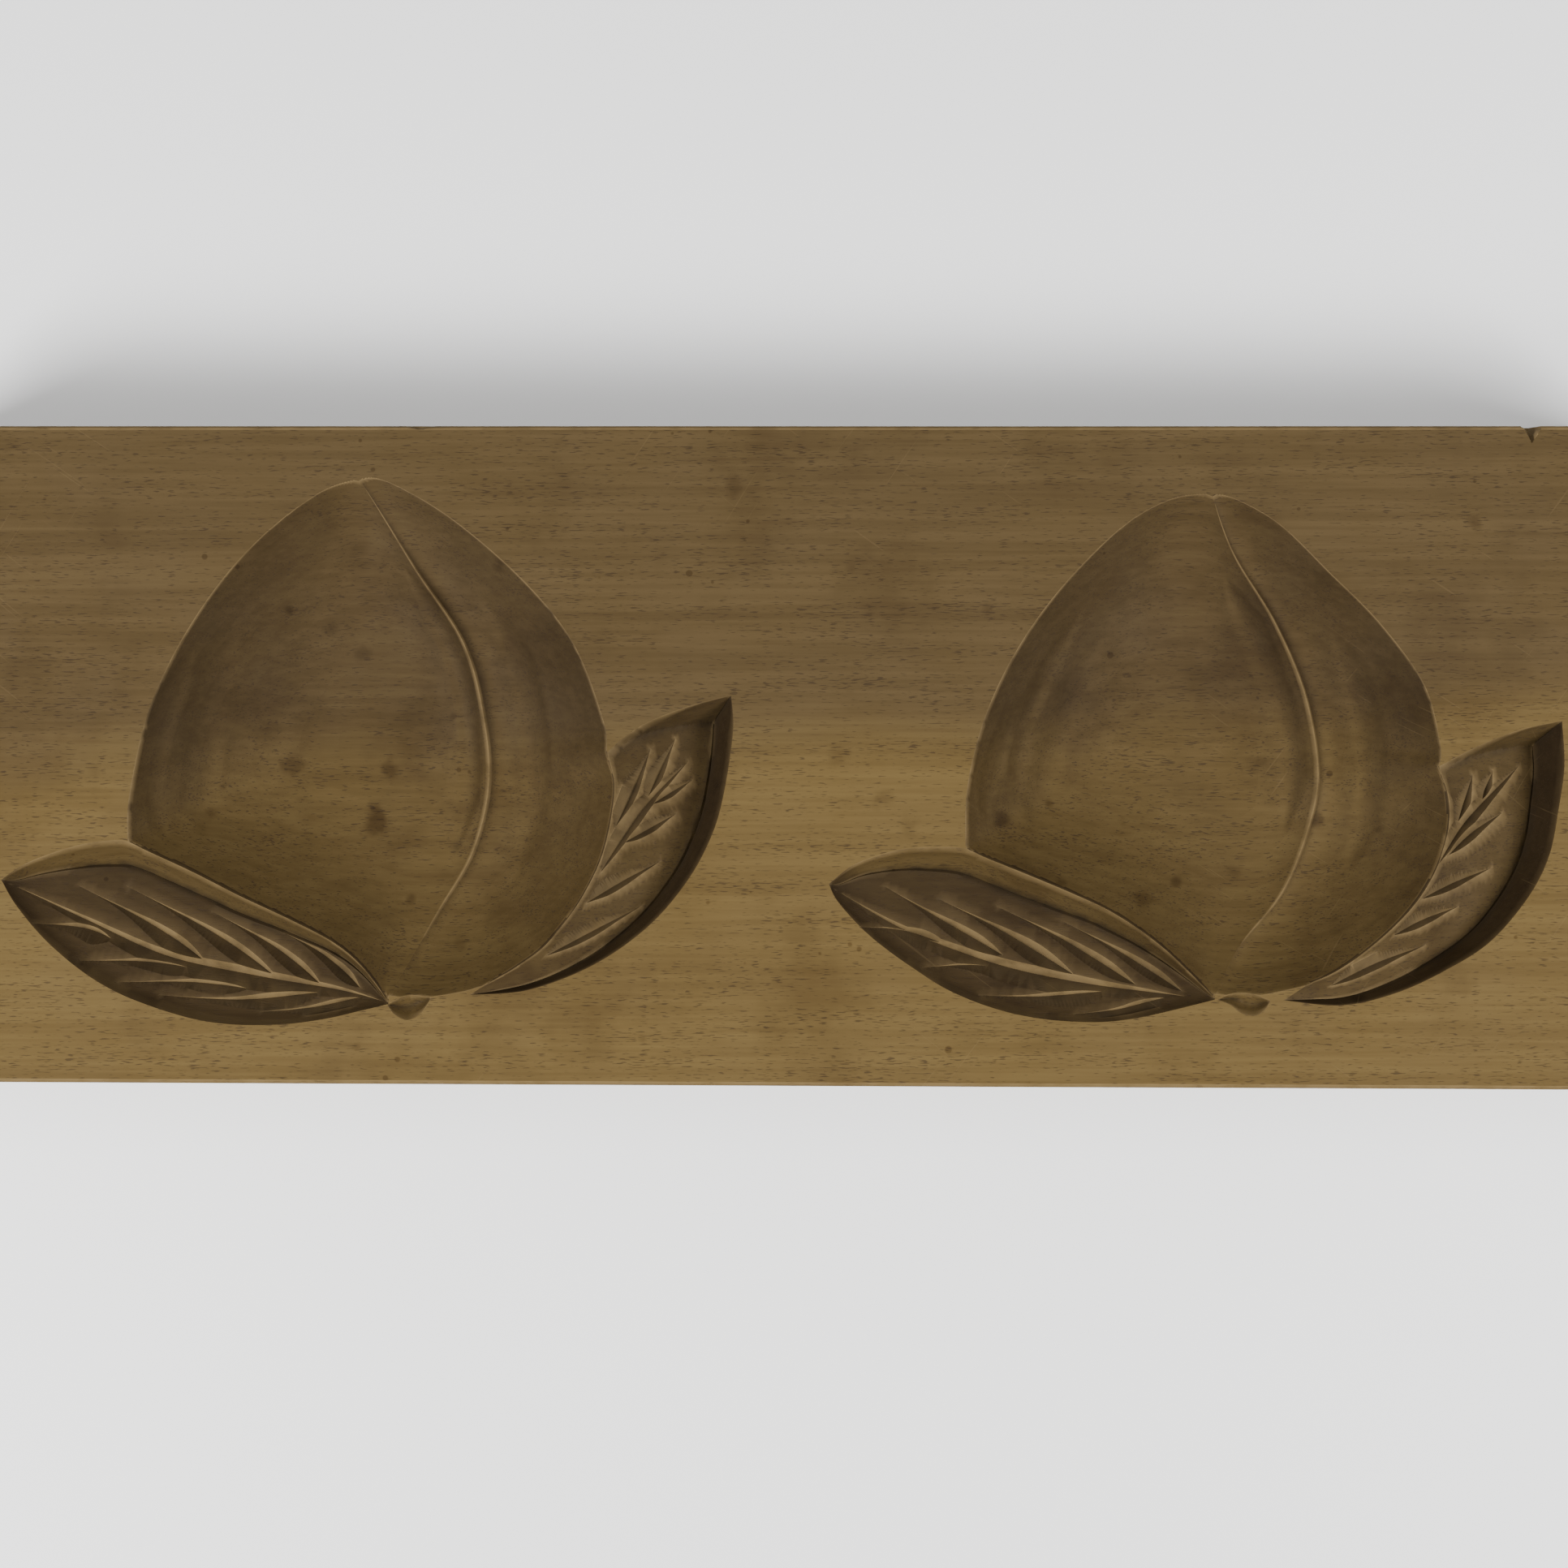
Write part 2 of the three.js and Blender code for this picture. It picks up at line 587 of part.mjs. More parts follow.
addPiece("frame_board", frameBoard(), frameWood, 0, -boardMiddle);
addPiece("carved_board", carvedBoard(), boardWood, 0, -boardMiddle);
addPiece("locating_peg_left", locatingPeg(), pegWood, -pegX, 0);
addPiece("locating_peg_right", locatingPeg(), pegWood, pegX, 0);

export default mould;
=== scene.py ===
"""A two-part wooden sweet mould: the carved board, and the frame board that it is stored on.

The carved board is cut the way a carver cuts it. A plank is made, and each hollow is taken out of
it with a shaped cutter: a bowl for each fruit, a dished cut for each leaf, V cuts for the veins
and a short gouge cut for the stalk. Lengths are in metres.
"""

from __future__ import annotations

import logging
import math
import random
from dataclasses import dataclass, field
from enum import Enum
from typing import Callable, Sequence

import bmesh
import bpy
import numpy as np
from mathutils import Matrix, Vector, noise

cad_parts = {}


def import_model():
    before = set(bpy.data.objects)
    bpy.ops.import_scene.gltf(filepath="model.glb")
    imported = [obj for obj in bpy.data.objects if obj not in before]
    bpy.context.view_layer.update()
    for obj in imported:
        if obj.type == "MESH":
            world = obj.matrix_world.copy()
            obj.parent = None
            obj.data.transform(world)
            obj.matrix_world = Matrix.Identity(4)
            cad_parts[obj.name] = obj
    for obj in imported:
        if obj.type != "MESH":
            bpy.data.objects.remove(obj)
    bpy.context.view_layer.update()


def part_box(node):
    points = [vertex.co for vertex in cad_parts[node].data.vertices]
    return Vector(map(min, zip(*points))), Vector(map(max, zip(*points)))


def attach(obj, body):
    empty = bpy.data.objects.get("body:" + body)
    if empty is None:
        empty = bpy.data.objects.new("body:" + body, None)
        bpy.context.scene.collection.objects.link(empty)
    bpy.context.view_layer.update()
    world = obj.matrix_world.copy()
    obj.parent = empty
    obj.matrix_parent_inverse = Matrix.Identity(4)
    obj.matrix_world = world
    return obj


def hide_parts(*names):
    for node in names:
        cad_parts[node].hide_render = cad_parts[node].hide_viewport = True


log = logging.getLogger("mould")

MM = 0.001
Point = tuple[float, float]
Line = np.ndarray
DepthField = Callable[[np.ndarray], np.ndarray]
SurfaceField = Callable[[np.ndarray], tuple[np.ndarray, np.ndarray, np.ndarray]]


# ---------------------------------------------------------------------------------------------
# Curves
# ---------------------------------------------------------------------------------------------


def smooth_line(points: Sequence[Point], steps: int = 160) -> Line:
    """Even points along the smooth curve through the given ones.

    Args:
        points: the points that the curve passes through.
        steps: how many stretches the result has.

    Returns:
        An array of steps + 1 points.
    """
    given = np.asarray(points, float)
    last = len(given) - 1
    spans = np.linspace(0, last, 12 * steps + 1)
    index = np.minimum(spans.astype(int), last - 1)
    weight = (spans - index)[:, None]
    before = given[np.where(index == 0, index, index - 1)]
    start, end = given[index], given[index + 1]
    after = given[np.minimum(index + 2, last)]
    leave, arrive = (end - before) / 2, (after - start) / 2
    curve = (
        (2 * start - 2 * end + leave + arrive) * weight**3
        + (-3 * start + 3 * end - 2 * leave - arrive) * weight**2
        + leave * weight
        + start
    )
    return even_line(curve, steps)


def even_line(line: Line, steps: int) -> Line:
    """A polyline drawn again with evenly spaced points."""
    lengths = np.hypot(*np.diff(line, axis=0).T)
    travelled = np.concatenate([[0], np.cumsum(lengths)])
    wanted = np.linspace(0, travelled[-1], steps + 1)
    return np.stack([np.interp(wanted, travelled, line[:, k]) for k in range(2)], axis=1)


def close_at_ends(share: np.ndarray, amount: float = 0.72) -> np.ndarray:
    """Shares from 0 to 1 moved closer together towards both ends."""
    return amount * (0.5 - 0.5 * np.cos(math.pi * share)) + (1 - amount) * share


def point_on(line: Line, share: np.ndarray) -> np.ndarray:
    """The points at these shares of an evenly spaced polyline."""
    where = np.asarray(share) * (len(line) - 1)
    index = np.arange(len(line))
    return np.stack([np.interp(where, index, line[:, k]) for k in range(2)], axis=-1)


def beside(line: Line, distance: float, fade: float = 0.07) -> Line:
    """A polyline moved to its left by a distance that fades in from both ends."""
    along = np.gradient(line, axis=0)
    along /= np.maximum(np.hypot(*along.T), 1e-12)[:, None]
    share = np.linspace(0, 1, len(line))
    amount = distance * np.clip(np.minimum(share, 1 - share) / fade, 0, 1)[:, None]
    return line + amount * np.stack([-along[:, 1], along[:, 0]], axis=1)


@dataclass
class Nearness:
    """How points lie beside a line."""

    distance: np.ndarray
    side: np.ndarray
    share: np.ndarray


def nearness(line: Line, places: np.ndarray) -> Nearness:
    """The distance, side and share along a polyline of each place's nearest point.

    Args:
        line: the polyline.
        places: an array of x, y places.

    Returns:
        The three arrays. The side is 1 to the left of the line and -1 to its right.
    """
    best = Nearness(np.full(len(places), np.inf), np.ones(len(places)), np.zeros(len(places)))
    steps = np.diff(line, axis=0)
    for i, (start, step) in enumerate(zip(line, steps)):
        offset = places - start
        square = max(float(step @ step), 1e-18)
        share = np.clip(offset @ step / square, 0, 1)
        gap = offset - share[:, None] * step
        distance = np.hypot(gap[:, 0], gap[:, 1])
        closer = distance < best.distance
        side = np.where(step[0] * gap[:, 1] - step[1] * gap[:, 0] < 0, -1.0, 1.0)
        best.distance = np.where(closer, distance, best.distance)
        best.side = np.where(closer, side, best.side)
        best.share = np.where(closer, (i + share) / len(steps), best.share)
    return best


def blended(distances: Sequence[np.ndarray], sharpness: float = 5.0) -> np.ndarray:
    """The least of several distances, rounded over where they are nearly equal."""
    close = sum(np.maximum(distance / MM, 1e-5) ** -sharpness for distance in distances)
    return MM * close ** (-1 / sharpness)


def within(outline: Line, places: np.ndarray) -> np.ndarray:
    """Whether each place lies inside a closed outline."""
    inside = np.zeros(len(places), bool)
    x, y = places[:, 0], places[:, 1]
    for (ax, ay), (bx, by) in zip(outline, np.roll(outline, -1, axis=0)):
        crosses = (ay > y) != (by > y)
        if ay != by:
            inside ^= crosses & (x < (bx - ax) * (y - ay) / (by - ay) + ax)
    return inside


def wobble(places: np.ndarray, size: float, seed: float = 0.0) -> np.ndarray:
    """Smooth unevenness between -1 and 1, with features of about the given size."""
    return np.array([noise.noise(Vector((x / size, y / size, seed))) for x, y in places])


# ---------------------------------------------------------------------------------------------
# The drawing of the carving. x runs from the middle of a fruit, y from the board's centre line,
# in millimetres.
# ---------------------------------------------------------------------------------------------

FRUIT_FROM_MIDDLE = 88.0


@dataclass(frozen=True)
class Vein:
    """One V cut in a leaf's floor."""

    half: float
    line: tuple[Point, ...]


@dataclass(frozen=True)
class Leaf:
    """The drawing of one leaf's hollow."""

    deep: tuple[Point, ...]
    soft: tuple[Point, ...]
    wall_slope: tuple[float, float]
    lip: float
    tilt: float
    veins: tuple[Vein, ...]
    vein_swell: float = 2.2


@dataclass(frozen=True)
class Gouge:
    """One long shallow gouge pass that leaves a crease at each side."""

    half: float
    depth: float
    line: tuple[Point, ...]


@dataclass(frozen=True)
class Motif:
    """The drawing of one fruit with its two leaves and its stalk."""

    name: str
    side: int
    rim_left: tuple[Point, ...]
    ridge_left: tuple[Point, ...]
    rim_right: tuple[Point, ...]
    ridge_right: tuple[Point, ...]
    suture: tuple[Point, ...]
    left_leaf: Leaf
    right_leaf: Leaf
    right_leaf_foot: Point
    stalk_upper: tuple[Point, ...]
    stalk_lower: tuple[Point, ...]
    gouges: tuple[Gouge, ...] = ()

    def placed(self, points: Sequence[Point]) -> list[Point]:
        """Drawn points at their place on the board, in metres."""
        shift = self.side * FRUIT_FROM_MIDDLE
        return [((x + shift) * MM, y * MM) for x, y in points]

    def line(self, points: Sequence[Point], steps: int = 160) -> Line:
        """The smooth line through drawn points, at its place on the board."""
        return smooth_line(self.placed(points), steps)


LEFT_MOTIF = Motif(
    name="left",
    side=-1,
    rim_left=(
        (-2.5, 59.7), (-10.5, 56), (-22, 47), (-32, 36), (-41, 22), (-47.2, 7.5), (-50.7, -9), (-51, -18),
    ),
    ridge_left=(
        (-51, -18), (-38, -24), (-27, -29.6), (-16.6, -34.5), (-7.4, -39.4), (-1.3, -44.6), (4.3, -52),
    ),
    rim_right=((-2.5, 59.7), (4.5, 58), (18, 50), (33, 37), (43.5, 23.7), (49.8, 7.4), (50.5, 0.7)),
    ridge_right=(
        (50.5, 0.7), (51.3, -8), (49, -20), (45, -28.8), (40, -36), (33.8, -42.1), (22, -48.3), (4.3, -51),
    ),
    suture=(
        (-2.5, 59.7), (8.4, 40.8), (18.5, 25), (22.6, 9.9), (23.9, -5.2), (20.4, -20.4), (13, -33.9),
        (4.3, -51),
    ),
    left_leaf=Leaf(
        deep=((-77.7, -26.2), (-72, -22.5), (-62, -19), (-54, -17.8), (-51, -18)),
        soft=(
            (-77.7, -26.2), (-74.3, -32), (-67, -40.3), (-57, -48), (-47, -52.6), (-35, -56.1), (-22.7, -57),
            (-10.5, -55.9), (4.3, -52.5),
        ),
        wall_slope=(1.25, 2.1),
        lip=2.0,
        tilt=0.27,
        veins=(
            Vein(2.2, ((-76, -27.2), (-60.5, -35.2), (-44, -42.8), (-25, -47), (-7, -49.8), (3, -52))),
            Vein(1.9, ((-62.5, -27.8), (-50, -34.6), (-35.5, -44))),
            Vein(1.9, ((-53, -27.8), (-36, -37), (-20, -47.5))),
            Vein(1.7, ((-35, -33.2), (-22, -40.4), (-10.4, -49))),
            Vein(1.5, ((-20.4, -37.2), (-11, -42.2), (-2.2, -49.3))),
            Vein(1.8, ((-71.5, -35.4), (-62, -36.6), (-55, -39.2))),
            Vein(1.7, ((-62, -43.4), (-48, -43.9), (-36, -45.8))),
            Vein(1.3, ((-53.6, -48), (-39, -48.2), (-26, -49.6))),
            Vein(1.6, ((-45, -50.8), (-27, -51.9), (-10, -50.2))),
            Vein(1.2, ((-23.4, -54.4), (-12, -53.4), (-2, -51.2))),
        ),
    ),
    right_leaf=Leaf(
        deep=((76.8, 12.8), (68, 10.6), (59, 7.1), (53.5, 3.4), (50.5, 0.7)),
        soft=(
            (76.8, 12.8), (77.2, 5), (75, -9.2), (72.1, -18.2), (67, -27.2), (59, -36.3), (47.7, -44.2),
            (34, -49.5), (21.4, -50.6),
        ),
        vein_swell=1.35,
        wall_slope=(2.0, 2.0),
        lip=0.4,
        tilt=0.36,
        veins=(
            Vein(1.7, ((67.6, -1), (58, -11.2), (49, -24.8))),
            Vein(1.6, ((59.6, 1.6), (56, -7), (52.2, -15.2))),
            Vein(1.5, ((64.8, 3.8), (61.6, -3), (58.3, -10.2))),
            Vein(1.2, ((68.5, -5), (64, -7.6), (60, -10.2))),
            Vein(1.4, ((65.1, -12.2), (60, -15), (54, -18.4))),
            Vein(1.5, ((61.7, -22.4), (54, -26.4), (46, -31.2))),
            Vein(1.5, ((57.6, -32), (48.5, -36.6), (37.5, -42.4))),
        ),
    ),
    right_leaf_foot=(21.4, -50.6),
    stalk_upper=((4, -52.6), (9, -50.2), (13.4, -51.2)),
    stalk_lower=((4, -52.6), (5.4, -54.6), (8.2, -55.9), (11.2, -54.5), (13.4, -51.2)),
    gouges=(
        Gouge(2.6, 0.7, ((6.5, 40), (12.5, 30.5), (17, 20), (19.3, 8), (19.6, -6), (16.5, -20))),
        Gouge(3.4, 0.6, ((24, 33), (31, 20), (34, 4), (34, -12), (30, -26))),
        Gouge(2.6, 0.4, ((-38, 22), (-44.5, 8), (-47, -8), (-44, -17))),
        Gouge(4.0, 0.4, ((-30, 28), (-36, 12), (-38, -4), (-36, -18))),
        Gouge(4.0, 0.3, ((2, 38), (-8, 20), (-14, 2), (-14, -20))),
    ),
)

RIGHT_MOTIF = Motif(
    name="right",
    side=1,
    rim_left=(
        (2, 56.6), (-6.4, 54.6), (-16.5, 48.5), (-29.1, 35.9), (-38.6, 22.7), (-45.4, 8.5), (-49.2, -6.5),
        (-49.6, -19.5),
    ),
    ridge_left=(
        (-49.6, -19.5), (-36.3, -24.9), (-26.6, -29), (-18.2, -33), (-9.1, -39.2), (-2, -45.7), (3.2, -51.2),
    ),
    rim_right=(
        (2, 56.6), (8, 54.4), (17.3, 48.8), (27.8, 38.6), (38.3, 28), (47.6, 15), (51, 2), (50.6, -2.2),
    ),
    ridge_right=(
        (50.6, -2.2), (52.2, -12), (50.5, -21.1), (45.9, -29.8), (38.3, -37.8), (27, -45.8), (15, -49.2),
        (3.2, -50.6),
    ),
    suture=(
        (2, 56.6), (8, 43.9), (17.4, 29.2), (24.5, 14.2), (27.6, -0.9), (26.4, -13.9), (20.1, -29),
        (9.8, -40.7), (3.2, -50.6),
    ),
    left_leaf=Leaf(
        deep=((-78.5, -27.1), (-72.6, -22.7), (-63, -19.7), (-54, -19.2), (-49.6, -19.5)),
        soft=(
            (-78.5, -27.1), (-76.5, -31), (-70.7, -37.3), (-62.3, -43.8), (-52.5, -49.9), (-40.2, -54.4),
            (-27.3, -56.2), (-14.3, -55.7), (3.2, -51.6),
        ),
        wall_slope=(1.3, 2.0),
        lip=2.0,
        tilt=0.27,
        veins=(
            Vein(2.2, (
                (-77, -28.4), (-64.2, -36.1), (-51.2, -41.5), (-38.1, -45.7), (-22, -48.8), (-3, -51),
            )),
            Vein(1.9, ((-66.8, -27.6), (-55.6, -34.2), (-41.2, -42.5))),
            Vein(1.9, ((-55.4, -30.3), (-41.6, -37.2), (-26, -46.7))),
            Vein(1.7, ((-42.1, -32.3), (-28.6, -39), (-13, -48.7))),
            Vein(1.5, ((-28.6, -35.2), (-16.8, -41.4), (-3.3, -50))),
            Vein(1.7, ((-72, -36.2), (-62.4, -37.2), (-53.2, -40.3))),
            Vein(1.7, ((-59, -44.9), (-47, -44.6), (-35.1, -46.1))),
            Vein(1.6, ((-46.7, -50.8), (-32.5, -51.2), (-18, -50))),
            Vein(1.3, ((-26.6, -54.8), (-16.6, -53.8), (-7.2, -51.4))),
        ),
    ),
    right_leaf=Leaf(
        deep=((76.7, 7.4), (68.3, 5.7), (59.3, 2.3), (50.6, -2.2)),
        soft=(
            (76.7, 7.4), (77.2, -2), (76, -11), (74, -21), (69.6, -29.8), (61.5, -39.3), (51.6, -45.6),
            (41.2, -50.3), (30, -52.8), (17.6, -51.7),
        ),
        vein_swell=1.35,
        wall_slope=(2.0, 2.0),
        lip=0.4,
        tilt=0.36,
        veins=(
            Vein(1.7, ((69.6, -2), (57.6, -13.6), (50.6, -22.9))),
            Vein(1.6, ((58.6, -3.8), (57, -9.4), (54.8, -15))),
            Vein(1.5, ((63.4, -3), (62, -6.8), (60.6, -10.4))),
            Vein(1.5, ((65.6, -12), (59.4, -15.8), (53, -21))),
            Vein(1.4, ((63.2, -23.8), (55.6, -26.6), (47.2, -30.3))),
            Vein(1.4, ((55.8, -32), (48.6, -34.6), (41.4, -38))),
            Vein(1.6, ((48.8, -40.2), (38.6, -43.9), (28, -48.8))),
        ),
    ),
    right_leaf_foot=(17.6, -51.7),
    stalk_upper=((3.6, -51.6), (9, -49.6), (15, -51.8)),
    stalk_lower=((3.6, -51.6), (6.4, -52.7), (8.8, -54.5), (11.8, -55), (13.9, -53.7), (15, -51.8)),
    gouges=(
        Gouge(3.0, 0.7, ((7.5, 38), (15, 24), (20.5, 10), (22.8, -2), (21, -16))),
        Gouge(2.2, 0.5, ((-24.5, 30.5), (-32, 17.5), (-36.8, 4), (-38, -9))),
        Gouge(2.6, 0.5, ((-31, 16), (-40, 6), (-44.6, -6), (-44.6, -13))),
        Gouge(3.6, 0.4, ((-19, 26), (-26, 12), (-31, -4), (-34, -20))),
        Gouge(3.0, 0.45, ((30, 26), (36, 14), (38.5, 0), (38, -14), (34, -24))),
    ),
)


# ---------------------------------------------------------------------------------------------
# Mesh tools
# ---------------------------------------------------------------------------------------------


def object_from(bm: bmesh.types.BMesh, name: str) -> bpy.types.Object:
    """A new object in the scene holding a bmesh, which is freed."""
    mesh = bpy.data.meshes.new(name)
    bm.to_mesh(mesh)
    bm.free()
    made = bpy.data.objects.new(name, mesh)
    bpy.context.scene.collection.objects.link(made)
    return made


def sheet_cutter(
    name: str,
    rows: int,
    columns: int,
    place: Callable[[np.ndarray, np.ndarray], np.ndarray],
    top: float,
) -> bpy.types.Object:
    """A closed cutter: a grid laid as the cut surface, then drawn up to a level top.

    Args:
        name: the cutter's name.
        rows: how many steps the grid has from one tip to the other.
        columns: how many steps it has across.
        place: gives the x, y, z of the cut surface from the shares across and along.
        top: the height of the level top.

    Returns:
        The cutter, as an object.
    """
    bm = bmesh.new()
    bmesh.ops.create_grid(bm, x_segments=columns, y_segments=rows, size=0.5)
    bm.verts.ensure_lookup_table()
    shares = np.array([(v.co.x + 0.5, v.co.y + 0.5) for v in bm.verts])
    for vertex, where in zip(bm.verts, place(shares[:, 0], shares[:, 1])):
        vertex.co = where
    drawn = bmesh.ops.extrude_face_region(bm, geom=bm.faces[:])
    for vertex in (g for g in drawn["geom"] if isinstance(g, bmesh.types.BMVert)):
        vertex.co.z = top
    bmesh.ops.remove_doubles(bm, verts=bm.verts[:], dist=1e-7)
    bmesh.ops.dissolve_degenerate(bm, dist=1e-8, edges=bm.edges[:])
    bmesh.ops.recalc_face_normals(bm, faces=bm.faces[:])
    return object_from(bm, name)


def carve(target: bpy.types.Object, cutters: Sequence[bpy.types.Object]) -> None:
    """Cuts the cutters out of the target for good, and removes them."""
    for cutter in cutters:
        cut = target.modifiers.new(cutter.name, "BOOLEAN")
        cut.operation = "DIFFERENCE"
        cut.solver = "MANIFOLD"
        cut.object = cutter
    settle(target)
    for cutter in cutters:
        bpy.data.objects.remove(cutter)


def settle(target: bpy.types.Object) -> None:
    """Applies all of an object's modifiers to its mesh."""
    depsgraph = bpy.context.evaluated_depsgraph_get()
    finished = bpy.data.meshes.new_from_object(target.evaluated_get(depsgraph))
    target.modifiers.clear()
    target.data = finished


def is_level(normal: Vector) -> bool:
    """Whether a face lies in one of the three main planes."""
    return max(abs(normal.x), abs(normal.y), abs(normal.z)) > 0.9985


# ---------------------------------------------------------------------------------------------
# Hollows
# ---------------------------------------------------------------------------------------------


@dataclass(frozen=True)
class LeafOilAndPaintedLight:
    """A leaf's hollow: where it holds oil, and which way the flanks face that are painted lighter, as
    painted light from a lamp.
    """

    outline: Line
    lit_side: Point
    lit_share: float
    lean_from: float
    lean_full: float

    def shares(self, middles: np.ndarray, normals: np.ndarray) -> np.ndarray:
        """How oiled each face is, less on the flanks that lean to the lit side as painted light, or nought
        for the faces outside the leaf.
        """
        # Painted light: faces that lean towards the lit side get less of the dark oiled colour, so they look
        # lit by a lamp.
        lean = normals[:, :2] @ np.array(self.lit_side)
        lit = np.clip((lean - self.lean_from) / (self.lean_full - self.lean_from), 0, 1)
        return within(self.outline, middles) * (1 - (1 - self.lit_share) * lit)


@dataclass
class CarvedMotif:
    """Makes the cutters for one fruit, its two leaves and its stalk.

    The hollows of the fruit and of a leaf each run a little past their common crest, so the crest
    stands where the two cut surfaces cross.
    """

    motif: Motif
    face: float
    lift: float = 4 * MM
    bowl_depth: float = 19 * MM
    bowl_reach: float = 44 * MM
    bowl_curve: float = 2.6
    suture_height: float = 3.9 * MM
    suture_left: float = 7 * MM
    suture_right: float = 2.0 * MM
    trough_depth: float = 1.5 * MM
    trough_reach: float = 9 * MM
    ridge_sink: float = 1.1 * MM
    stop_cut: float = 0.4 * MM
    stop_fade: float = 1 / 6
    stop_share: float = 0.3
    foot_samples: int = 200
    foot_limits: tuple[float, float] = (0.25, 0.97)
    worn_lip: float = 0.22 * MM
    vein_slope: float = 1.0
    vein_lift: float = 0.9 * MM
    stalk_depth: float = 3 * MM
    fruit_rows: int = 210
    lobe_columns: tuple[int, int] = (84, 50)
    leaf_rows: int = 130
    leaf_columns: int = 38
    leaf_floor_columns: int = 27
    vein_stations: int = 36

    def __post_init__(self) -> None:
        """Works out the lines that bound the hollows."""
        motif = self.motif
        ridge_left = motif.line(motif.ridge_left)
        ridge_right = motif.line(motif.ridge_right)
        foot = np.array(motif.placed([motif.right_leaf_foot])[0])
        self.suture = motif.line(motif.suture)
        rims = motif.line(motif.rim_left), motif.line(motif.rim_right)
        feet = beside(ridge_left, -self.ridge_sink), beside(ridge_right, self.ridge_sink)
        self.fruit_sides = (*rims, *feet)
        self.fruit_left = self.joined(rims[0], feet[0])
        self.fruit_right = self.joined(rims[1], feet[1])
        self.left_upper = self.joined(
            motif.line(motif.left_leaf.deep), beside(ridge_left, self.ridge_sink / 3)
        )
        self.left_lower = motif.line(motif.left_leaf.soft)
        ridge_by_leaf = np.vstack([ridge_right[ridge_right[:, 0] > foot[0] + 6 * MM], foot])
        self.right_ridge = beside(even_line(ridge_by_leaf, 120), self.ridge_sink / 3)
        self.right_upper = motif.line(motif.right_leaf.deep)
        self.right_outer = motif.line(motif.right_leaf.soft)
        self.right_deep = np.vstack([self.right_upper[::-1], self.right_outer])

    @staticmethod
    def joined(*lines: Line) -> Line:
        """Polylines joined end to end, evenly spaced."""
        return even_line(np.vstack(lines), 300)

    def cutters(self) -> list[bpy.types.Object]:
        """All the cutters of this motif, hollows first."""
        made = [self.fruit(), self.left_leaf(), self.right_leaf(), self.stalk()]
        leaves = (
            (self.motif.left_leaf, self.left_leaf_depth()),
            (self.motif.right_leaf, self.right_leaf_depth()),
        )
        for leaf, depth in leaves:
            for number, vein in enumerate(leaf.veins):
                swell = 1.2 if number == 0 else leaf.vein_swell
                made.append(self.vein(vein, depth, number, swell))
        return made

    def worn(self, depth: np.ndarray, edge: np.ndarray) -> np.ndarray:
        """A depth eased off where the hollow meets the face, as handling rounds it."""
        return depth * edge / (edge + self.worn_lip)

    def fruit_depth(self, places: np.ndarray) -> np.ndarray:
        """How deep the fruit's hollow is.

        Args:
            places: an array of x, y places.

        Returns:
            The depths under the board's face.
        """
        edge = blended([nearness(side, places).distance for side in self.fruit_sides])
        cleft = nearness(self.suture, places)
        share = np.clip(edge / self.bowl_reach, 0, 1)
        bowl = self.bowl_depth * (1 - (1 - share) ** self.bowl_curve)
        swell = np.clip((cleft.share + 0.14) / 0.4, 0, 1) * (1 - cleft.share) ** 0.45
        width = np.where(cleft.side > 0, self.suture_right, self.suture_left)
        ridge = self.suture_height * swell * np.exp(-cleft.distance / width)
        beyond = np.exp(-cleft.distance / self.trough_reach) * (1 - np.exp(-cleft.distance / width))
        trough = np.where(cleft.side > 0, self.trough_depth * (1 - cleft.share) * beyond, 0)
        depth = np.clip(bowl - ridge + trough * share, 0, None)
        for gouge in self.motif.gouges:
            depth += self.gouge_pass(gouge, places)
        scallop = 0.16 * MM * wobble(places, 9 * MM, 3.1) + 0.05 * MM * wobble(places, 2.6 * MM, 7.7)
        return self.worn(depth + scallop * share, edge)

    def gouge_pass(self, gouge: Gouge, places: np.ndarray) -> np.ndarray:
        """The extra depth of one long gouge pass, with a crease at each side."""
        line = self.motif.line(gouge.line, 80)
        near = nearness(line, places)
        half = gouge.half * MM * np.clip(np.sin(math.pi * (0.04 + 0.92 * near.share)) * 1.6, 0, 1)
        across = near.distance / np.maximum(half, 1e-6)
        return gouge.depth * MM * np.clip(1 - across**2, 0, None) * half / (gouge.half * MM)

    def fruit(self) -> bpy.types.Object:
        """The cutter for the fruit, with a column of its grid along the cleft."""
        left, right = self.lobe_columns
        columns = left + right

        def place(across: np.ndarray, along: np.ndarray) -> np.ndarray:
            """Lays the grid between the two rims, past the cleft."""
            row = close_at_ends(along, 0.5)
            first, middle, second = (
                point_on(line, row) for line in (self.fruit_left, self.suture, self.fruit_right)
            )
            step = across * columns
            in_left = close_at_ends(np.clip(step / left, 0, 1))[:, None]
            in_right = close_at_ends(np.clip((step - left) / right, 0, 1))[:, None]
            flat = first + (middle - first) * in_left + (second - middle) * in_right
            return np.column_stack([flat, self.face - self.fruit_depth(flat)])

        name = f"{self.motif.name}_fruit"
        return sheet_cutter(name, self.fruit_rows, columns, place, self.face + self.lift)

    def leaf_depth(self, leaf: Leaf, deep: Line, soft: Line) -> DepthField:
        """How deep a leaf is: the lesser of its wall's depth and its floor's."""
        fields = self.leaf_surfaces(leaf, deep, soft)

        def depth(places: np.ndarray) -> np.ndarray:
            """The depths under the board's face."""
            wall, floor, edge = fields(places)
            return self.worn(np.minimum(wall, floor), edge)

        return depth

    def leaf_surfaces(self, leaf: Leaf, deep: Line, soft: Line) -> SurfaceField:
        """The two surfaces of a leaf: a wall that falls from its deep side, and a climbing floor."""

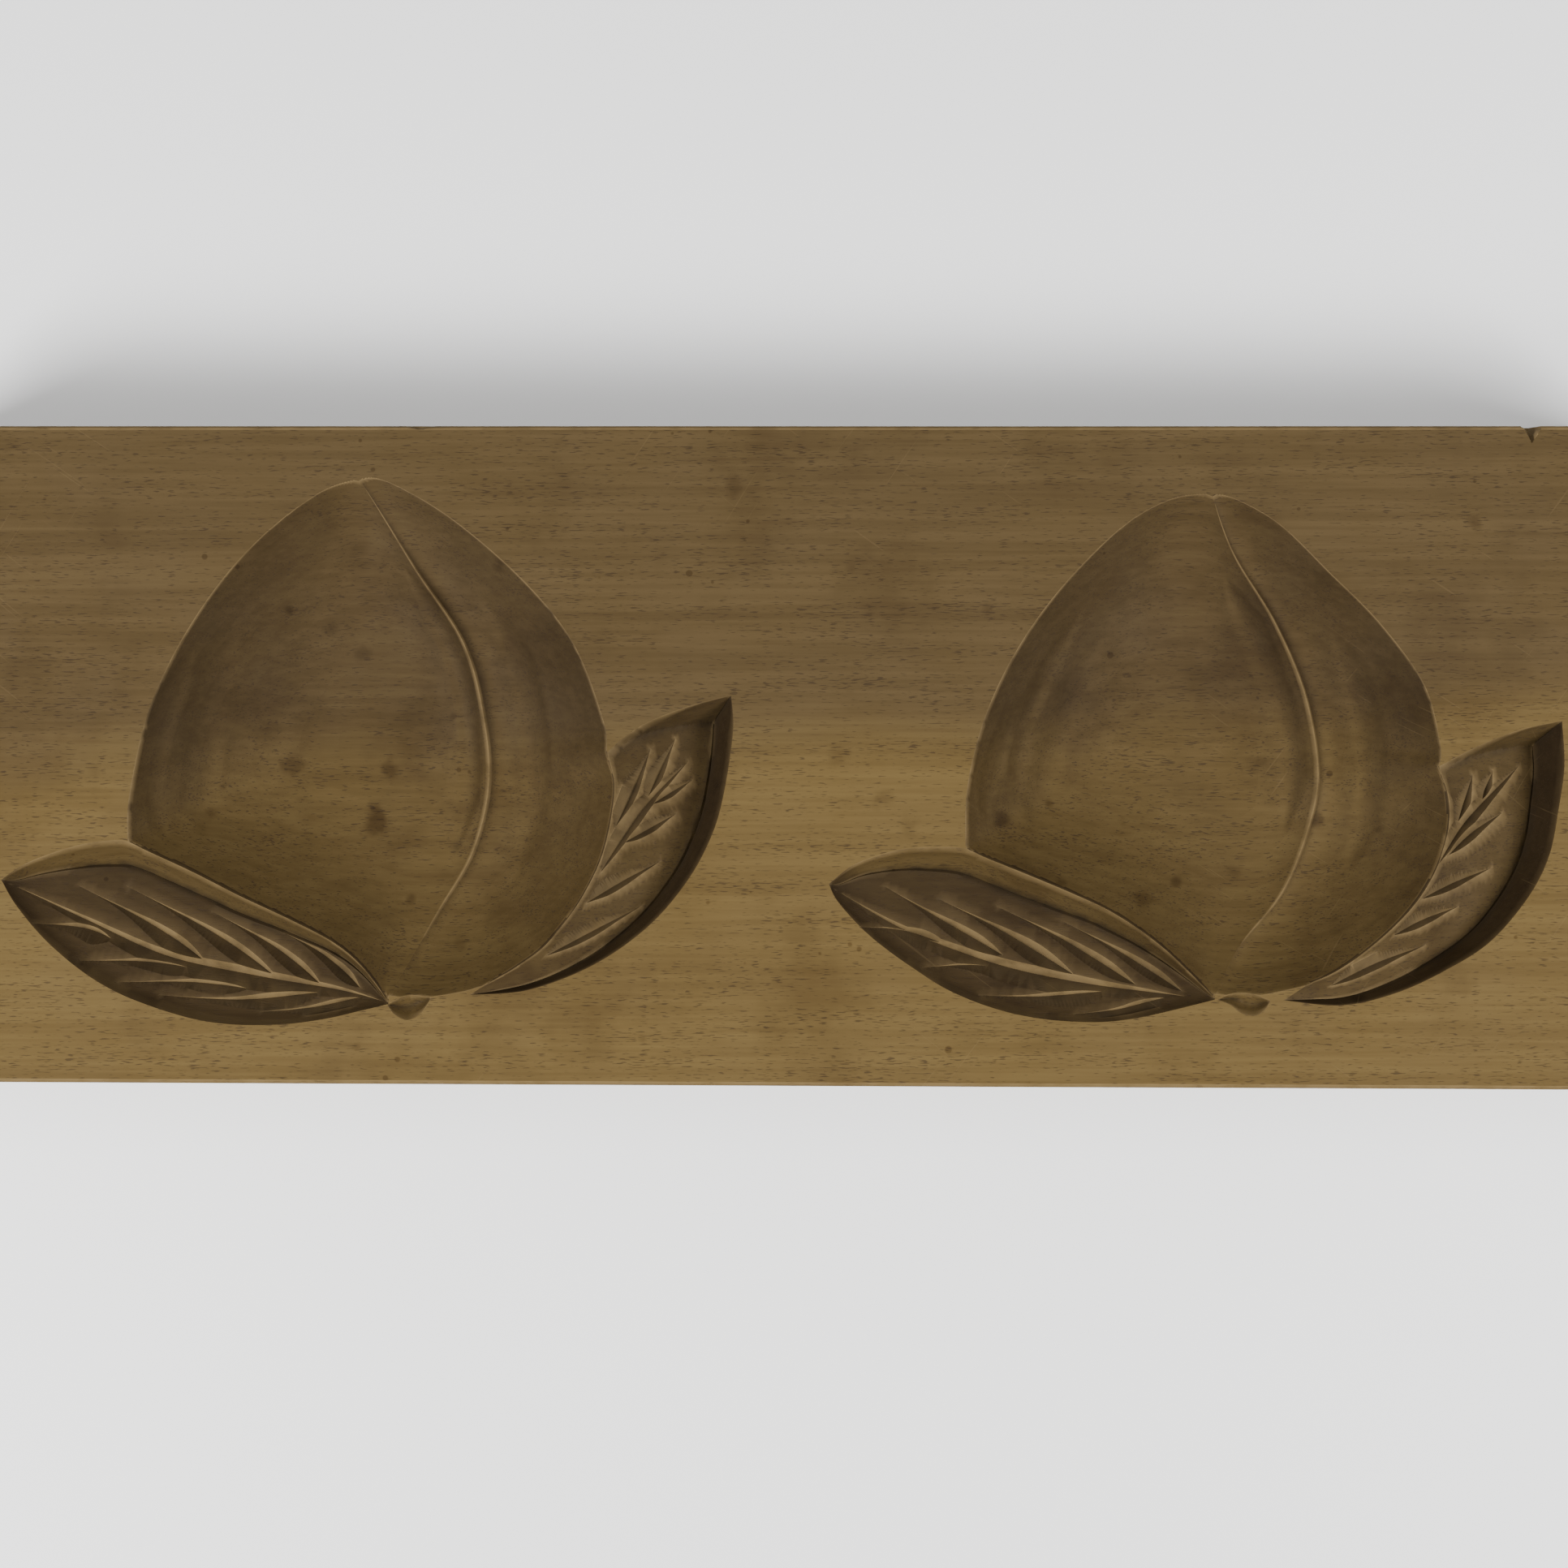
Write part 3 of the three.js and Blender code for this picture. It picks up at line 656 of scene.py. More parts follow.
        def surfaces(places: np.ndarray) -> tuple[np.ndarray, np.ndarray, np.ndarray]:
            """The wall's depths, the floor's, and the distances from the deep side."""
            wall = nearness(deep, places)
            open_side = nearness(soft, places).distance
            slope = leaf.wall_slope[0] + (leaf.wall_slope[1] - leaf.wall_slope[0]) * wall.share
            floor = leaf.lip * MM * (1 - np.exp(-open_side / (1.5 * MM))) + leaf.tilt * open_side
            floor += 0.10 * MM * wobble(places, 7 * MM, 5.5)
            return wall.distance * slope, floor, wall.distance

        return surfaces

    def left_leaf_depth(self) -> DepthField:
        """The lower left leaf's depth."""
        return self.leaf_depth(self.motif.left_leaf, self.left_upper, self.left_lower)

    def right_leaf_depth(self) -> DepthField:
        """The upper right leaf's depth."""
        return self.leaf_depth(self.motif.right_leaf, self.right_deep, self.right_ridge)

    def leaf(self, name: str, first: Line, second: Line, surfaces: SurfaceField) -> bpy.types.Object:
        """A leaf's cutter between two lines that run from its tip to its foot.

        Args:
            name: the cutter's name.
            first: the line along its soft side.
            second: the line along its deep side.
            surfaces: the depths of its wall and floor.

        Returns:
            The cutter, with a column of its grid along the foot of the wall.
        """
        rows, columns, bend = self.leaf_rows, self.leaf_columns, self.leaf_floor_columns
        samples = np.linspace(0, 1, self.foot_samples)
        foot = np.zeros(rows + 1)
        for number in range(rows + 1):
            row = close_at_ends(np.array([number / rows]), 0.4)
            start, end = point_on(first, row), point_on(second, row)
            wall, floor, _ = surfaces(start + (end - start) * samples[:, None])
            on_floor = np.flatnonzero(wall >= floor)
            foot[number] = samples[on_floor[-1] if len(on_floor) else wall.argmax()]
        foot[:3], foot[-4:] = foot[3], foot[-5]
        foot = np.convolve(np.pad(foot, 2, "edge"), np.ones(5) / 5, "valid")
        foot = np.clip(foot, *self.foot_limits)

        def place(across: np.ndarray, along: np.ndarray) -> np.ndarray:
            """Lays the grid."""
            row = close_at_ends(along, 0.4)
            start, end = point_on(first, row), point_on(second, row)
            bend_at = np.interp(along, np.linspace(0, 1, rows + 1), foot)
            step = across * columns
            on_floor = close_at_ends(np.clip(step / bend, 0, 1), 0.35) * bend_at
            on_wall = np.clip((step - bend) / (columns - bend), 0, 1) * (1 - bend_at)
            flat = start + (end - start) * (on_floor + on_wall)[:, None]
            wall, floor, edge = surfaces(flat)
            depth = self.worn(np.minimum(wall, floor), edge)
            stop = self.stop_cut * np.clip(np.minimum(along, 1 - along) / self.stop_fade, 0, 1)
            depth += np.where(np.rint(step) == bend, np.minimum(stop, self.stop_share * depth), 0)
            return np.column_stack([flat, self.face - depth])

        return sheet_cutter(name, rows, columns, place, self.face + self.lift)

    def left_leaf(self) -> bpy.types.Object:
        """The lower left leaf's cutter."""
        name = f"{self.motif.name}_lower_leaf"
        surfaces = self.leaf_surfaces(self.motif.left_leaf, self.left_upper, self.left_lower)
        return self.leaf(name, self.left_lower, self.left_upper, surfaces)

    def right_leaf(self) -> bpy.types.Object:
        """The upper right leaf's cutter."""
        inner = self.joined(self.right_upper, self.right_ridge)
        name = f"{self.motif.name}_upper_leaf"
        surfaces = self.leaf_surfaces(self.motif.right_leaf, self.right_deep, self.right_ridge)
        return self.leaf(name, inner, self.right_outer, surfaces)

    def vein(self, vein: Vein, depth: DepthField, number: int, swell: float) -> bpy.types.Object:
        """A three-sided cutter that follows a leaf's floor and runs out at both ends.

        Args:
            vein: the vein.
            depth: the leaf's depths.
            number: which of the leaf's veins it is.
            swell: how far along it the cut is widest: 1 is half way, and more is further on.

        Returns:
            The cutter.
        """
        line = self.motif.line(vein.line, 120)
        headings = np.gradient(line, axis=0)
        headings /= np.hypot(*headings.T)[:, None]
        seed = number * 3.7 + self.motif.side

        def place(across: np.ndarray, along: np.ndarray) -> np.ndarray:
            """Wraps the grid round the cutter: one top corner, the bottom, the other top corner."""
            at = point_on(line, along)
            ahead = point_on(headings, along)
            half = vein.half * MM * np.sin(math.pi * np.clip(along, 0, 1) ** swell)
            uneven = np.array([noise.noise(Vector((share * 4, seed, 0))) for share in along])
            half = half * (1 + 0.14 * uneven)
            corner = np.rint(across * 3).astype(int)
            side = np.select([corner == 1], [0.0], np.where(corner == 2, -1.0, 1.0))
            reach = half + self.vein_lift / self.vein_slope
            flat = at + (side * reach)[:, None] * np.column_stack([-ahead[:, 1], ahead[:, 0]])
            floor = self.face - depth(at)
            height = np.where(side == 0, floor - half * self.vein_slope, floor + self.vein_lift)
            return np.column_stack([flat, height])

        bm = bmesh.new()
        bmesh.ops.create_grid(bm, x_segments=3, y_segments=self.vein_stations, size=0.5)
        bm.verts.ensure_lookup_table()
        shares = np.array([(v.co.x + 0.5, v.co.y + 0.5) for v in bm.verts])
        for vertex, where in zip(bm.verts, place(shares[:, 0], shares[:, 1])):
            vertex.co = where
        bmesh.ops.remove_doubles(bm, verts=bm.verts[:], dist=1e-7)
        bmesh.ops.holes_fill(bm, edges=[e for e in bm.edges if e.is_boundary], sides=3)
        bmesh.ops.recalc_face_normals(bm, faces=bm.faces[:])
        return object_from(bm, f"{self.motif.name}_vein_{number}")

    def stalk(self) -> bpy.types.Object:
        """The cutter for the short gouge cut that makes the stalk."""
        upper = self.motif.line(self.motif.stalk_upper, 60)
        lower = self.motif.line(self.motif.stalk_lower, 60)
        outline = np.vstack([upper, lower[::-1]])

        def place(across: np.ndarray, along: np.ndarray) -> np.ndarray:
            """Lays the grid between the lower and the upper outline."""
            start, end = point_on(lower, along), point_on(upper, along)
            flat = start + (end - start) * across[:, None]
            edge = nearness(outline, flat).distance
            depth = self.stalk_depth * (1 - np.exp(-1.6 * edge / self.stalk_depth * 1.4))
            return np.column_stack([flat, self.face - self.worn(depth, edge)])

        return sheet_cutter(f"{self.motif.name}_stalk", 36, 14, place, self.face + self.lift)

    def leaf_oil_and_light(self) -> list[LeafOilAndPaintedLight]:
        """Where the two leaves hold oil, with the flanks that face the lamps painted lighter."""
        lower = np.vstack([self.left_lower, self.left_upper[::-1]])
        upper = np.vstack([self.joined(self.right_upper, self.right_ridge), self.right_outer[::-1]])
        return [
            # Painted light: the lower leaf's flanks facing the front left and the upper leaf's flanks facing
            # the front right are painted paler.
            LeafOilAndPaintedLight(lower, (-0.55, -0.83), lit_share=0.5, lean_from=0.12, lean_full=0.37),
            LeafOilAndPaintedLight(upper, (0.70, -0.70), lit_share=0.70, lean_from=0.0, lean_full=0.16),
        ]

    def silhouette(self) -> Line:
        """The outline of the whole motif, fruit and leaves together, as one closed line."""
        motif = self.motif
        rim_left = motif.line(motif.rim_left, 60)
        upper = self.left_upper[self.left_upper[:, 0] < rim_left[-1, 0]][::-1]
        parts = [rim_left, upper, self.left_lower, self.right_outer[::-1], self.right_upper]
        parts.append(motif.line(motif.rim_right, 60)[::-1])
        return even_line(np.vstack(parts), 420)


# ---------------------------------------------------------------------------------------------
# Boards
# ---------------------------------------------------------------------------------------------


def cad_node(name: str) -> bpy.types.Object:
    """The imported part's own object."""
    return bpy.data.objects[name]


@dataclass
class Plank:
    """A hand-planed board with eased edges, made to fit the box of its part in the frame."""

    node: str
    seed: int
    ease: float = 0.9 * MM
    unevenness: float = 0.12 * MM
    length_steps: int = 48

    def corners(self) -> dict[tuple[bool, bool], Vector]:
        """The outline's four corners, by whether each is at the right and whether at the back."""
        points = [v.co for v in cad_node(self.node).data.vertices]
        found = {}
        for right in (False, True):
            for back in (False, True):
                x_way, y_way = (1 if right else -1), (1 if back else -1)
                found[right, back] = max(points, key=lambda p: 4 * p.x * x_way + p.y * y_way).copy()
        return found

    def build(self, name: str) -> bpy.types.Object:
        """The blank board.

        Args:
            name: the new object's name.

        Returns:
            The board, as an object.
        """
        low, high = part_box(self.node)
        corners = self.corners()
        bm = bmesh.new()
        bmesh.ops.create_cube(bm, size=1)
        for vertex in bm.verts:
            corner = corners[vertex.co.x > 0, vertex.co.y > 0]
            vertex.co = (corner.x, corner.y, low.z if vertex.co.z < 0 else high.z)
        long_edges = [e for e in bm.edges if abs(e.verts[0].co.x - e.verts[1].co.x) > 0.1]
        bmesh.ops.subdivide_edges(bm, edges=long_edges, cuts=self.length_steps, use_grid_fill=True)
        short_edges = [e for e in bm.edges if abs(e.verts[0].co.y - e.verts[1].co.y) > 0.1]
        ends = [e for e in short_edges if abs(e.verts[0].co.x) > abs(low.x) - self.ease]
        bmesh.ops.subdivide_edges(bm, edges=ends, cuts=18, use_grid_fill=False)
        self.roughen(bm)
        sharp = [e for e in bm.edges if e.calc_face_angle(0) > 1]
        bmesh.ops.bevel(
            bm, geom=sharp, offset=self.ease, segments=3, profile=0.5, affect="EDGES", material=-1,
        )
        return object_from(bm, name)

    def roughen(self, bm: bmesh.types.BMesh) -> None:
        """Moves the edges in by small uneven amounts, as planing and knocks leave them."""
        middle = sum((v.co for v in bm.verts), Vector()) / len(bm.verts)
        for vertex in bm.verts:
            place = vertex.co
            drift = noise.noise(Vector((place.x * 9, place.y * 9, self.seed + place.z * 30)))
            inward = Vector((0, -math.copysign(1, place.y - middle.y), 0))
            if abs(place.y) > 0.05:
                vertex.co = place + inward * self.unevenness * (0.5 + 0.5 * drift)


@dataclass
class PegHole:
    """A round hole bored for a peg."""

    x: float
    radius: float
    bottom: float
    top: float

    def cutter(self) -> bpy.types.Object:
        """The cutter."""
        bm = bmesh.new()
        depth = self.top - self.bottom
        place = Matrix.Translation((self.x, 0, (self.top + self.bottom) / 2))
        bmesh.ops.create_cone(
            bm, cap_ends=True, segments=48, radius1=self.radius, radius2=self.radius, depth=depth,
            matrix=place,
        )
        return object_from(bm, "peg_hole")


@dataclass
class EdgeChip:
    """A splinter missing from a board's upper back edge."""

    x: float
    width: float
    depth: float
    height: float
    lean: float = 0.0
    seed: int = 1
    sides: int = 7
    point: float = 0.12
    roughness: float = 0.07
    reach: float = 0.62

    def cutter(self, edge: float, face: float) -> bpy.types.Object:
        """A rough wedge that stands across the edge, with its faces turned outward.

        Args:
            edge: the y of the board's back edge.
            face: the z of its face.

        Returns:
            The cutter, as an object.
        """
        bm = bmesh.new()
        bmesh.ops.create_cone(
            bm, cap_ends=True, segments=self.sides, radius1=self.point, radius2=1, depth=2, matrix=Matrix(),
        )
        bmesh.ops.subdivide_edges(bm, edges=bm.edges[:], cuts=2, use_grid_fill=True)
        shaker = random.Random(self.seed)
        for vertex in bm.verts:
            jolt = Vector([shaker.uniform(-self.roughness, self.roughness) for _ in range(3)])
            local = vertex.co + jolt
            along = self.x + local.x * self.width / 2 + self.lean * local.y * self.width / 2
            inward = edge - self.depth + (local.z + 1) * self.depth * self.reach
            up = face + local.y * self.height
            vertex.co = (along, inward, up)
        bmesh.ops.triangulate(bm, faces=bm.faces[:])
        bmesh.ops.recalc_face_normals(bm, faces=bm.faces[:])
        if bm.calc_volume(signed=True) < 0:
            bmesh.ops.reverse_faces(bm, faces=bm.faces[:])
        return object_from(bm, "edge_chip")


# ---------------------------------------------------------------------------------------------
# What a finish reads from a mesh
# ---------------------------------------------------------------------------------------------


@dataclass
class SurfaceMarks:
    """Writes the masks that the wood finishes read.

    They are the crests (rubbed wear and a painted highlight), the creases (grime and painted shade), the
    oiled hollows (with painted light on the leaf flanks that face the lamps) and the end grain.
    """

    piece: bpy.types.Object
    leaves: tuple[LeafOilAndPaintedLight, ...] = ()
    fruit_share: float = 0.40
    inset: float = 6 * MM
    skin: float = 0.15 * MM
    side_skin: float = 2.5 * MM
    crest_from: float = 0.80
    crease_from: float = 0.36
    full: float = 1.10
    rim_share: float = 0.85
    outer_crease: float = 0.15
    spread: float = 0.6
    rounds: int = 2

    def write(self) -> None:
        """Measures the mesh and stores its masks, at each face corner or at each face."""
        bm = bmesh.new()
        bm.from_mesh(self.piece.data)
        bm.normal_update()
        crest = np.zeros(len(bm.verts))
        crease = np.zeros(len(bm.verts))
        low = Vector((min(v.co[k] for v in bm.verts) for k in range(3)))
        high = Vector((max(v.co[k] for v in bm.verts) for k in range(3)))
        face_level = [is_level(f.normal) and self.on_skin(f, low, high) for f in bm.faces]
        for edge in bm.edges:
            if len(edge.link_faces) != 2:
                continue
            angle = edge.calc_face_angle_signed(0)
            # A rim between the face and a hollow counts as a crest, so it also gets the pale painted
            # highlight line.
            rim = face_level[edge.link_faces[0].index] != face_level[edge.link_faces[1].index]
            least = self.crest_from if angle > 0 else self.crease_from
            amount = min(1, abs(angle) / self.full) if abs(angle) > least else 0
            mask = crest if angle > 0 or rim else crease
            for vertex in edge.verts:
                outer = any(min(vertex.co[k] - low[k], high[k] - vertex.co[k]) < self.inset for k in (0, 1))
                held = amount * (self.outer_crease if mask is crease and outer else 1)
                mask[vertex.index] = max(mask[vertex.index], held, self.rim_share * rim)
        middles = np.array([f.calc_center_median()[:2] for f in bm.faces])
        normals = np.array([f.normal[:] for f in bm.faces])
        shares = np.full(len(middles), self.fruit_share if self.leaves else 1.0)
        # Inside the leaves, the flanks that face the lamps get a smaller share: painted light.
        for leaf in self.leaves:
            shares = np.maximum(shares, leaf.shares(middles, normals))
        hollow = [not level and self.inside(f, low, high) for f, level in zip(bm.faces, face_level)]
        hollow = np.array(hollow) * shares
        crest, crease = self.softened(bm, crest), self.softened(bm, crease)
        end_grain = np.abs([v.normal.x for v in bm.verts])
        end_faces = np.abs([f.normal.x for f in bm.faces])
        bm.free()
        self.store("crest", crest, face_level)
        self.store("crease", crease, face_level)
        self.store_faces("hollow", hollow)
        self.store("end_grain", end_grain, face_level, end_faces)

    def softened(self, bm: bmesh.types.BMesh, mask: np.ndarray) -> np.ndarray:
        """A mask that reaches a little way past the edge that made it."""
        ends = np.array([(edge.verts[0].index, edge.verts[1].index) for edge in bm.edges])
        for _ in range(self.rounds):
            wider = mask.copy()
            np.maximum.at(wider, ends[:, 0], self.spread * mask[ends[:, 1]])
            np.maximum.at(wider, ends[:, 1], self.spread * mask[ends[:, 0]])
            mask = wider
        return mask

    def on_skin(self, face: bmesh.types.BMFace, low: Vector, high: Vector) -> bool:
        """Whether a face lies on the outside of the blank board."""
        middle = face.calc_center_median()
        return any(
            min(middle[k] - low[k], high[k] - middle[k]) < (self.skin if k == 2 else self.side_skin)
            for k in range(3)
        )

    def inside(self, face: bmesh.types.BMFace, low: Vector, high: Vector) -> bool:
        """Whether a face is away from the board's outer edges."""
        middle = face.calc_center_median()
        return all(min(middle[k] - low[k], high[k] - middle[k]) > self.inset for k in range(2))

    def store(
        self, name: str, values: np.ndarray, level: Sequence[bool], level_values: np.ndarray | None = None,
    ) -> None:
        """Stores a value at each face corner.

        Args:
            name: the attribute's name.
            values: a value for each vertex.
            level: which faces are flat outer ones.
            level_values: a value for each flat outer face, or none for nought.
        """
        mesh = self.piece.data
        corners = np.zeros(len(mesh.loops), np.float32)
        for number, polygon in enumerate(mesh.polygons):
            for loop in polygon.loop_indices:
                if not level[number]:
                    corners[loop] = values[mesh.loops[loop].vertex_index]
                elif level_values is not None:
                    corners[loop] = level_values[number]
        mesh.attributes.new(name, "FLOAT", "CORNER").data.foreach_set("value", corners)

    def store_faces(self, name: str, values: np.ndarray) -> None:
        """Stores each face's value."""
        attribute = self.piece.data.attributes.new(name, "FLOAT", "FACE")
        attribute.data.foreach_set("value", values.astype(np.float32))


def shade(piece: bpy.types.Object, crease_angle: float = 0.5) -> None:
    """Smooth faces, with the edges past an angle kept sharp and the level faces flat."""
    mesh = piece.data
    mesh.set_sharp_from_angle(angle=crease_angle)
    mesh.polygons.foreach_set("use_smooth", [not is_level(p.normal) for p in mesh.polygons])


# ---------------------------------------------------------------------------------------------
# Shader tools
# ---------------------------------------------------------------------------------------------

Socket = bpy.types.NodeSocket
Colour = tuple[float, float, float]


@dataclass
class Graph:
    """Adds nodes to a tree, with short names for the ones that a finish uses most."""

    tree: bpy.types.NodeTree

    def add(self, kind: str, inputs: dict | None = None, **settings) -> bpy.types.Node:
        """Adds one node.

        Args:
            kind: the node's type.
            inputs: what each named or numbered input is given, a value or another node's output.
            **settings: the node's own settings.

        Returns:
            The new node.
        """
        made = self.tree.nodes.new(kind)
        for name, value in settings.items():
            setattr(made, name, value)
        for name, value in (inputs or {}).items():
            if isinstance(value, bpy.types.NodeSocket):
                self.tree.links.new(value, made.inputs[name])
            else:
                made.inputs[name].default_value = value
        return made

    def sum(self, kind: str, a: Socket | float, b: Socket | float = 0.0, clamp: bool = False) -> Socket:
        """One step of arithmetic."""
        return self.add("ShaderNodeMath", {0: a, 1: b}, operation=kind, use_clamp=clamp).outputs[0]

    def band(self, value: Socket, low: float, high: float, out: tuple[float, float] = (0, 1)) -> Socket:
        """A smooth step of a value from one level to another."""
        given = {"Value": value, "From Min": low, "From Max": high, "To Min": out[0], "To Max": out[1]}
        return self.add("ShaderNodeMapRange", given, interpolation_type="SMOOTHSTEP").outputs[0]

    def mix(self, share: Socket | float, a: Socket | tuple, b: Socket | tuple, blend: str = "MIX") -> Socket:
        """Two colours mixed."""
        given = {0: share, 6: opaque(a), 7: opaque(b)}
        return self.add("ShaderNodeMix", given, data_type="RGBA", blend_type=blend).outputs[2]

    def stretched(self, vector: Socket, scale: tuple[float, float, float]) -> Socket:
        """A place scaled by a different amount along each axis."""
        return self.add("ShaderNodeVectorMath", {0: vector, 1: scale}, operation="MULTIPLY").outputs[0]

    def noise(self, vector: Socket, scale: float, detail: float = 2.0, rough: float = 0.5) -> Socket:
        """Soft three-dimensional noise about one half."""
        given = {"Vector": vector, "Scale": scale, "Detail": detail, "Roughness": rough}
        return self.add("ShaderNodeTexNoise", given).outputs["Fac"]


def opaque(colour: Socket | tuple) -> Socket | tuple:
    """A colour with its alpha, where it is a plain one."""
    return (*colour, 1.0) if isinstance(colour, tuple) and len(colour) == 3 else colour


class Kind(Enum):
    """The kinds of socket that a node group has."""

    NUMBER = "NodeSocketFloat"
    COLOUR = "NodeSocketColor"
    VECTOR = "NodeSocketVector"


def new_group(name: str, takes: dict[str, Kind], gives: dict[str, Kind]) -> tuple[Graph, dict[str, Socket]]:
    """An empty node group with named inputs and outputs.

    Args:
        name: the group's name.
        takes: its inputs.
        gives: its outputs.

    Returns:
        The group's graph and the sockets of its inputs.
    """
    tree = bpy.data.node_groups.new(name, "ShaderNodeTree")
    for label, kind in takes.items():
        tree.interface.new_socket(label, in_out="INPUT", socket_type=kind.value)
    for label, kind in gives.items():
        tree.interface.new_socket(label, in_out="OUTPUT", socket_type=kind.value)
    entry = tree.nodes.new("NodeGroupInput")
    return Graph(tree), {label: entry.outputs[label] for label in takes}


def give(graph: Graph, results: dict[str, Socket]) -> bpy.types.NodeTree:
    """Joins a group's results to its outputs and returns the group."""
    end = graph.tree.nodes.new("NodeGroupOutput")
    for label, socket in results.items():
        graph.tree.links.new(socket, end.inputs[label])
    return graph.tree


# ---------------------------------------------------------------------------------------------
# Effects that more than one finish uses
# ---------------------------------------------------------------------------------------------


def grain_group() -> bpy.types.NodeTree:
    """Wood that runs along x: rings, fibre streaks and short dark pores."""
    takes = {
        "Place": Kind.VECTOR, "Light": Kind.COLOUR, "Dark": Kind.COLOUR, "Pore": Kind.COLOUR,
        "Streaks": Kind.NUMBER, "Pores": Kind.NUMBER,
    }
    graph, given = new_group("wood_grain", takes, {"Color": Kind.COLOUR, "Height": Kind.NUMBER})
    place = given["Place"]
    drift = graph.noise(graph.stretched(place, (5, 16, 16)), 1.0, 2.0)
    away = graph.sum("MULTIPLY", graph.sum("SUBTRACT", drift, 0.5), 0.010)
    parts = graph.add("ShaderNodeSeparateXYZ", {0: place})
    across = graph.sum("ADD", parts.outputs["Y"], away)
    upward = graph.sum("ADD", parts.outputs["Z"], 0.21)
    ring = graph.sum("SQRT", graph.sum(
        "ADD", graph.sum("MULTIPLY", across, across), graph.sum("MULTIPLY", upward, upward),
    ))
    phase = graph.sum("FRACT", graph.sum("MULTIPLY", ring, 420.0))
    late = graph.band(phase, 0.35, 1.0)
    fibre = graph.noise(graph.stretched(place, (26, 820, 820)), 1.0, 3.0, 0.6)
    broad = graph.noise(graph.stretched(place, (7, 190, 190)), 1.0, 3.0, 0.55)
    tone = graph.sum("ADD", graph.sum("MULTIPLY", fibre, 0.55), graph.sum("MULTIPLY", broad, 0.45))
    tone = graph.band(tone, 0.34, 0.66)
    tone = graph.sum("ADD", graph.sum("MULTIPLY", tone, 0.82), graph.sum("MULTIPLY", late, 0.18))
    share = graph.sum("MULTIPLY", tone, given["Streaks"], clamp=True)
    colour = graph.mix(share, given["Light"], given["Dark"])
    dashes = graph.noise(graph.stretched(place, (420, 3400, 3400)), 1.0, 1.0)
    where = graph.noise(graph.stretched(place, (30, 240, 240)), 1.0, 2.0)
    level = graph.sum("ADD", dashes, graph.sum("MULTIPLY", graph.sum("SUBTRACT", where, 0.5), 0.30))
    pore = graph.sum("MULTIPLY", graph.band(level, 0.60, 0.70), given["Pores"], clamp=True)
    colour = graph.mix(pore, colour, given["Pore"])
    height = graph.sum("SUBTRACT", graph.sum("MULTIPLY", fibre, 0.35), pore)
    return give(graph, {"Color": colour, "Height": height})


def blotch_group() -> bpy.types.NodeTree:
    """Cloudy stains and small dark specks on a colour."""
    takes = {
        "Place": Kind.VECTOR, "Base": Kind.COLOUR, "Stain": Kind.COLOUR,
        "Clouds": Kind.NUMBER, "Specks": Kind.NUMBER,
    }
    graph, given = new_group("stain_blotches", takes, {"Color": Kind.COLOUR, "Mask": Kind.NUMBER})
    cloud = graph.band(graph.noise(given["Place"], 34.0, 4.0, 0.62), 0.46, 0.72)
    cloud = graph.sum("MULTIPLY", cloud, given["Clouds"], clamp=True)
    colour = graph.mix(cloud, given["Base"], given["Stain"], "MULTIPLY")
    fine = graph.add("ShaderNodeTexVoronoi", {"Vector": given["Place"], "Scale": 210.0})
    size = graph.noise(given["Place"], 120.0, 1.0)
    speck = graph.sum("SUBTRACT", graph.band(size, 0.48, 0.80, (0.0, 0.22)), fine.outputs["Distance"])
    speck = graph.sum("MULTIPLY", graph.band(speck, 0.0, 0.06), given["Specks"], clamp=True)
    colour = graph.mix(speck, colour, given["Stain"], "MULTIPLY")
    return give(graph, {"Color": colour, "Mask": graph.sum("MAXIMUM", cloud, speck)})


def patchy_mask_group() -> bpy.types.NodeTree:
    """A mask broken up into patches, for the crests' wear and painted highlight and for the creases' grime
    and painted shade.
    """
    takes = {"Place": Kind.VECTOR, "Mask": Kind.NUMBER, "Size": Kind.NUMBER, "Broken": Kind.NUMBER}
    graph, given = new_group("rubbed_edges", takes, {"Mask": Kind.NUMBER})
    given_noise = {"Vector": given["Place"], "Scale": given["Size"], "Detail": 3.0}
    patch = graph.add("ShaderNodeTexNoise", given_noise).outputs["Fac"]
    patch = graph.band(patch, 0.30, 0.62)
    gaps = graph.sum("MULTIPLY", given["Broken"], graph.sum("SUBTRACT", 1.0, patch))
    keep = graph.sum("SUBTRACT", 1.0, gaps)
    return give(graph, {"Mask": graph.sum("MULTIPLY", given["Mask"], keep, clamp=True)})


def scratch_group() -> bpy.types.NodeTree:
    """Fine scratches and knife nicks in two directions, in a few places."""
    takes = {"Place": Kind.VECTOR, "Amount": Kind.NUMBER}
    graph, given = new_group("knife_nicks", takes, {"Mask": Kind.NUMBER})
    masks = []
    for turn, scale in ((0.62, (48, 1500, 60)), (-0.95, (36, 1200, 50))):
        bent = graph.add("ShaderNodeTexNoise", {"Vector": given["Place"], "Scale": 18.0, "Detail": 1.0})
        shift = graph.add(
            "ShaderNodeVectorMath", {0: bent.outputs["Color"], 1: (0.006, 0.006, 0.0)}, operation="MULTIPLY",
        )
        moved = graph.add("ShaderNodeVectorMath", {0: given["Place"], 1: shift.outputs[0]}, operation="ADD")
        mapped = graph.add("ShaderNodeMapping", {"Vector": moved.outputs[0], "Rotation": (0, 0, turn)})
        streak = graph.noise(graph.stretched(mapped.outputs[0], scale), 1.0, 1.0)
        masks.append(graph.band(streak, 0.735, 0.775))
    few = graph.band(graph.noise(given["Place"], 11.0, 1.0), 0.50, 0.60)
    both = graph.sum("MULTIPLY", graph.sum("MAXIMUM", masks[0], masks[1]), few)
    return give(graph, {"Mask": graph.sum("MULTIPLY", both, given["Amount"], clamp=True)})


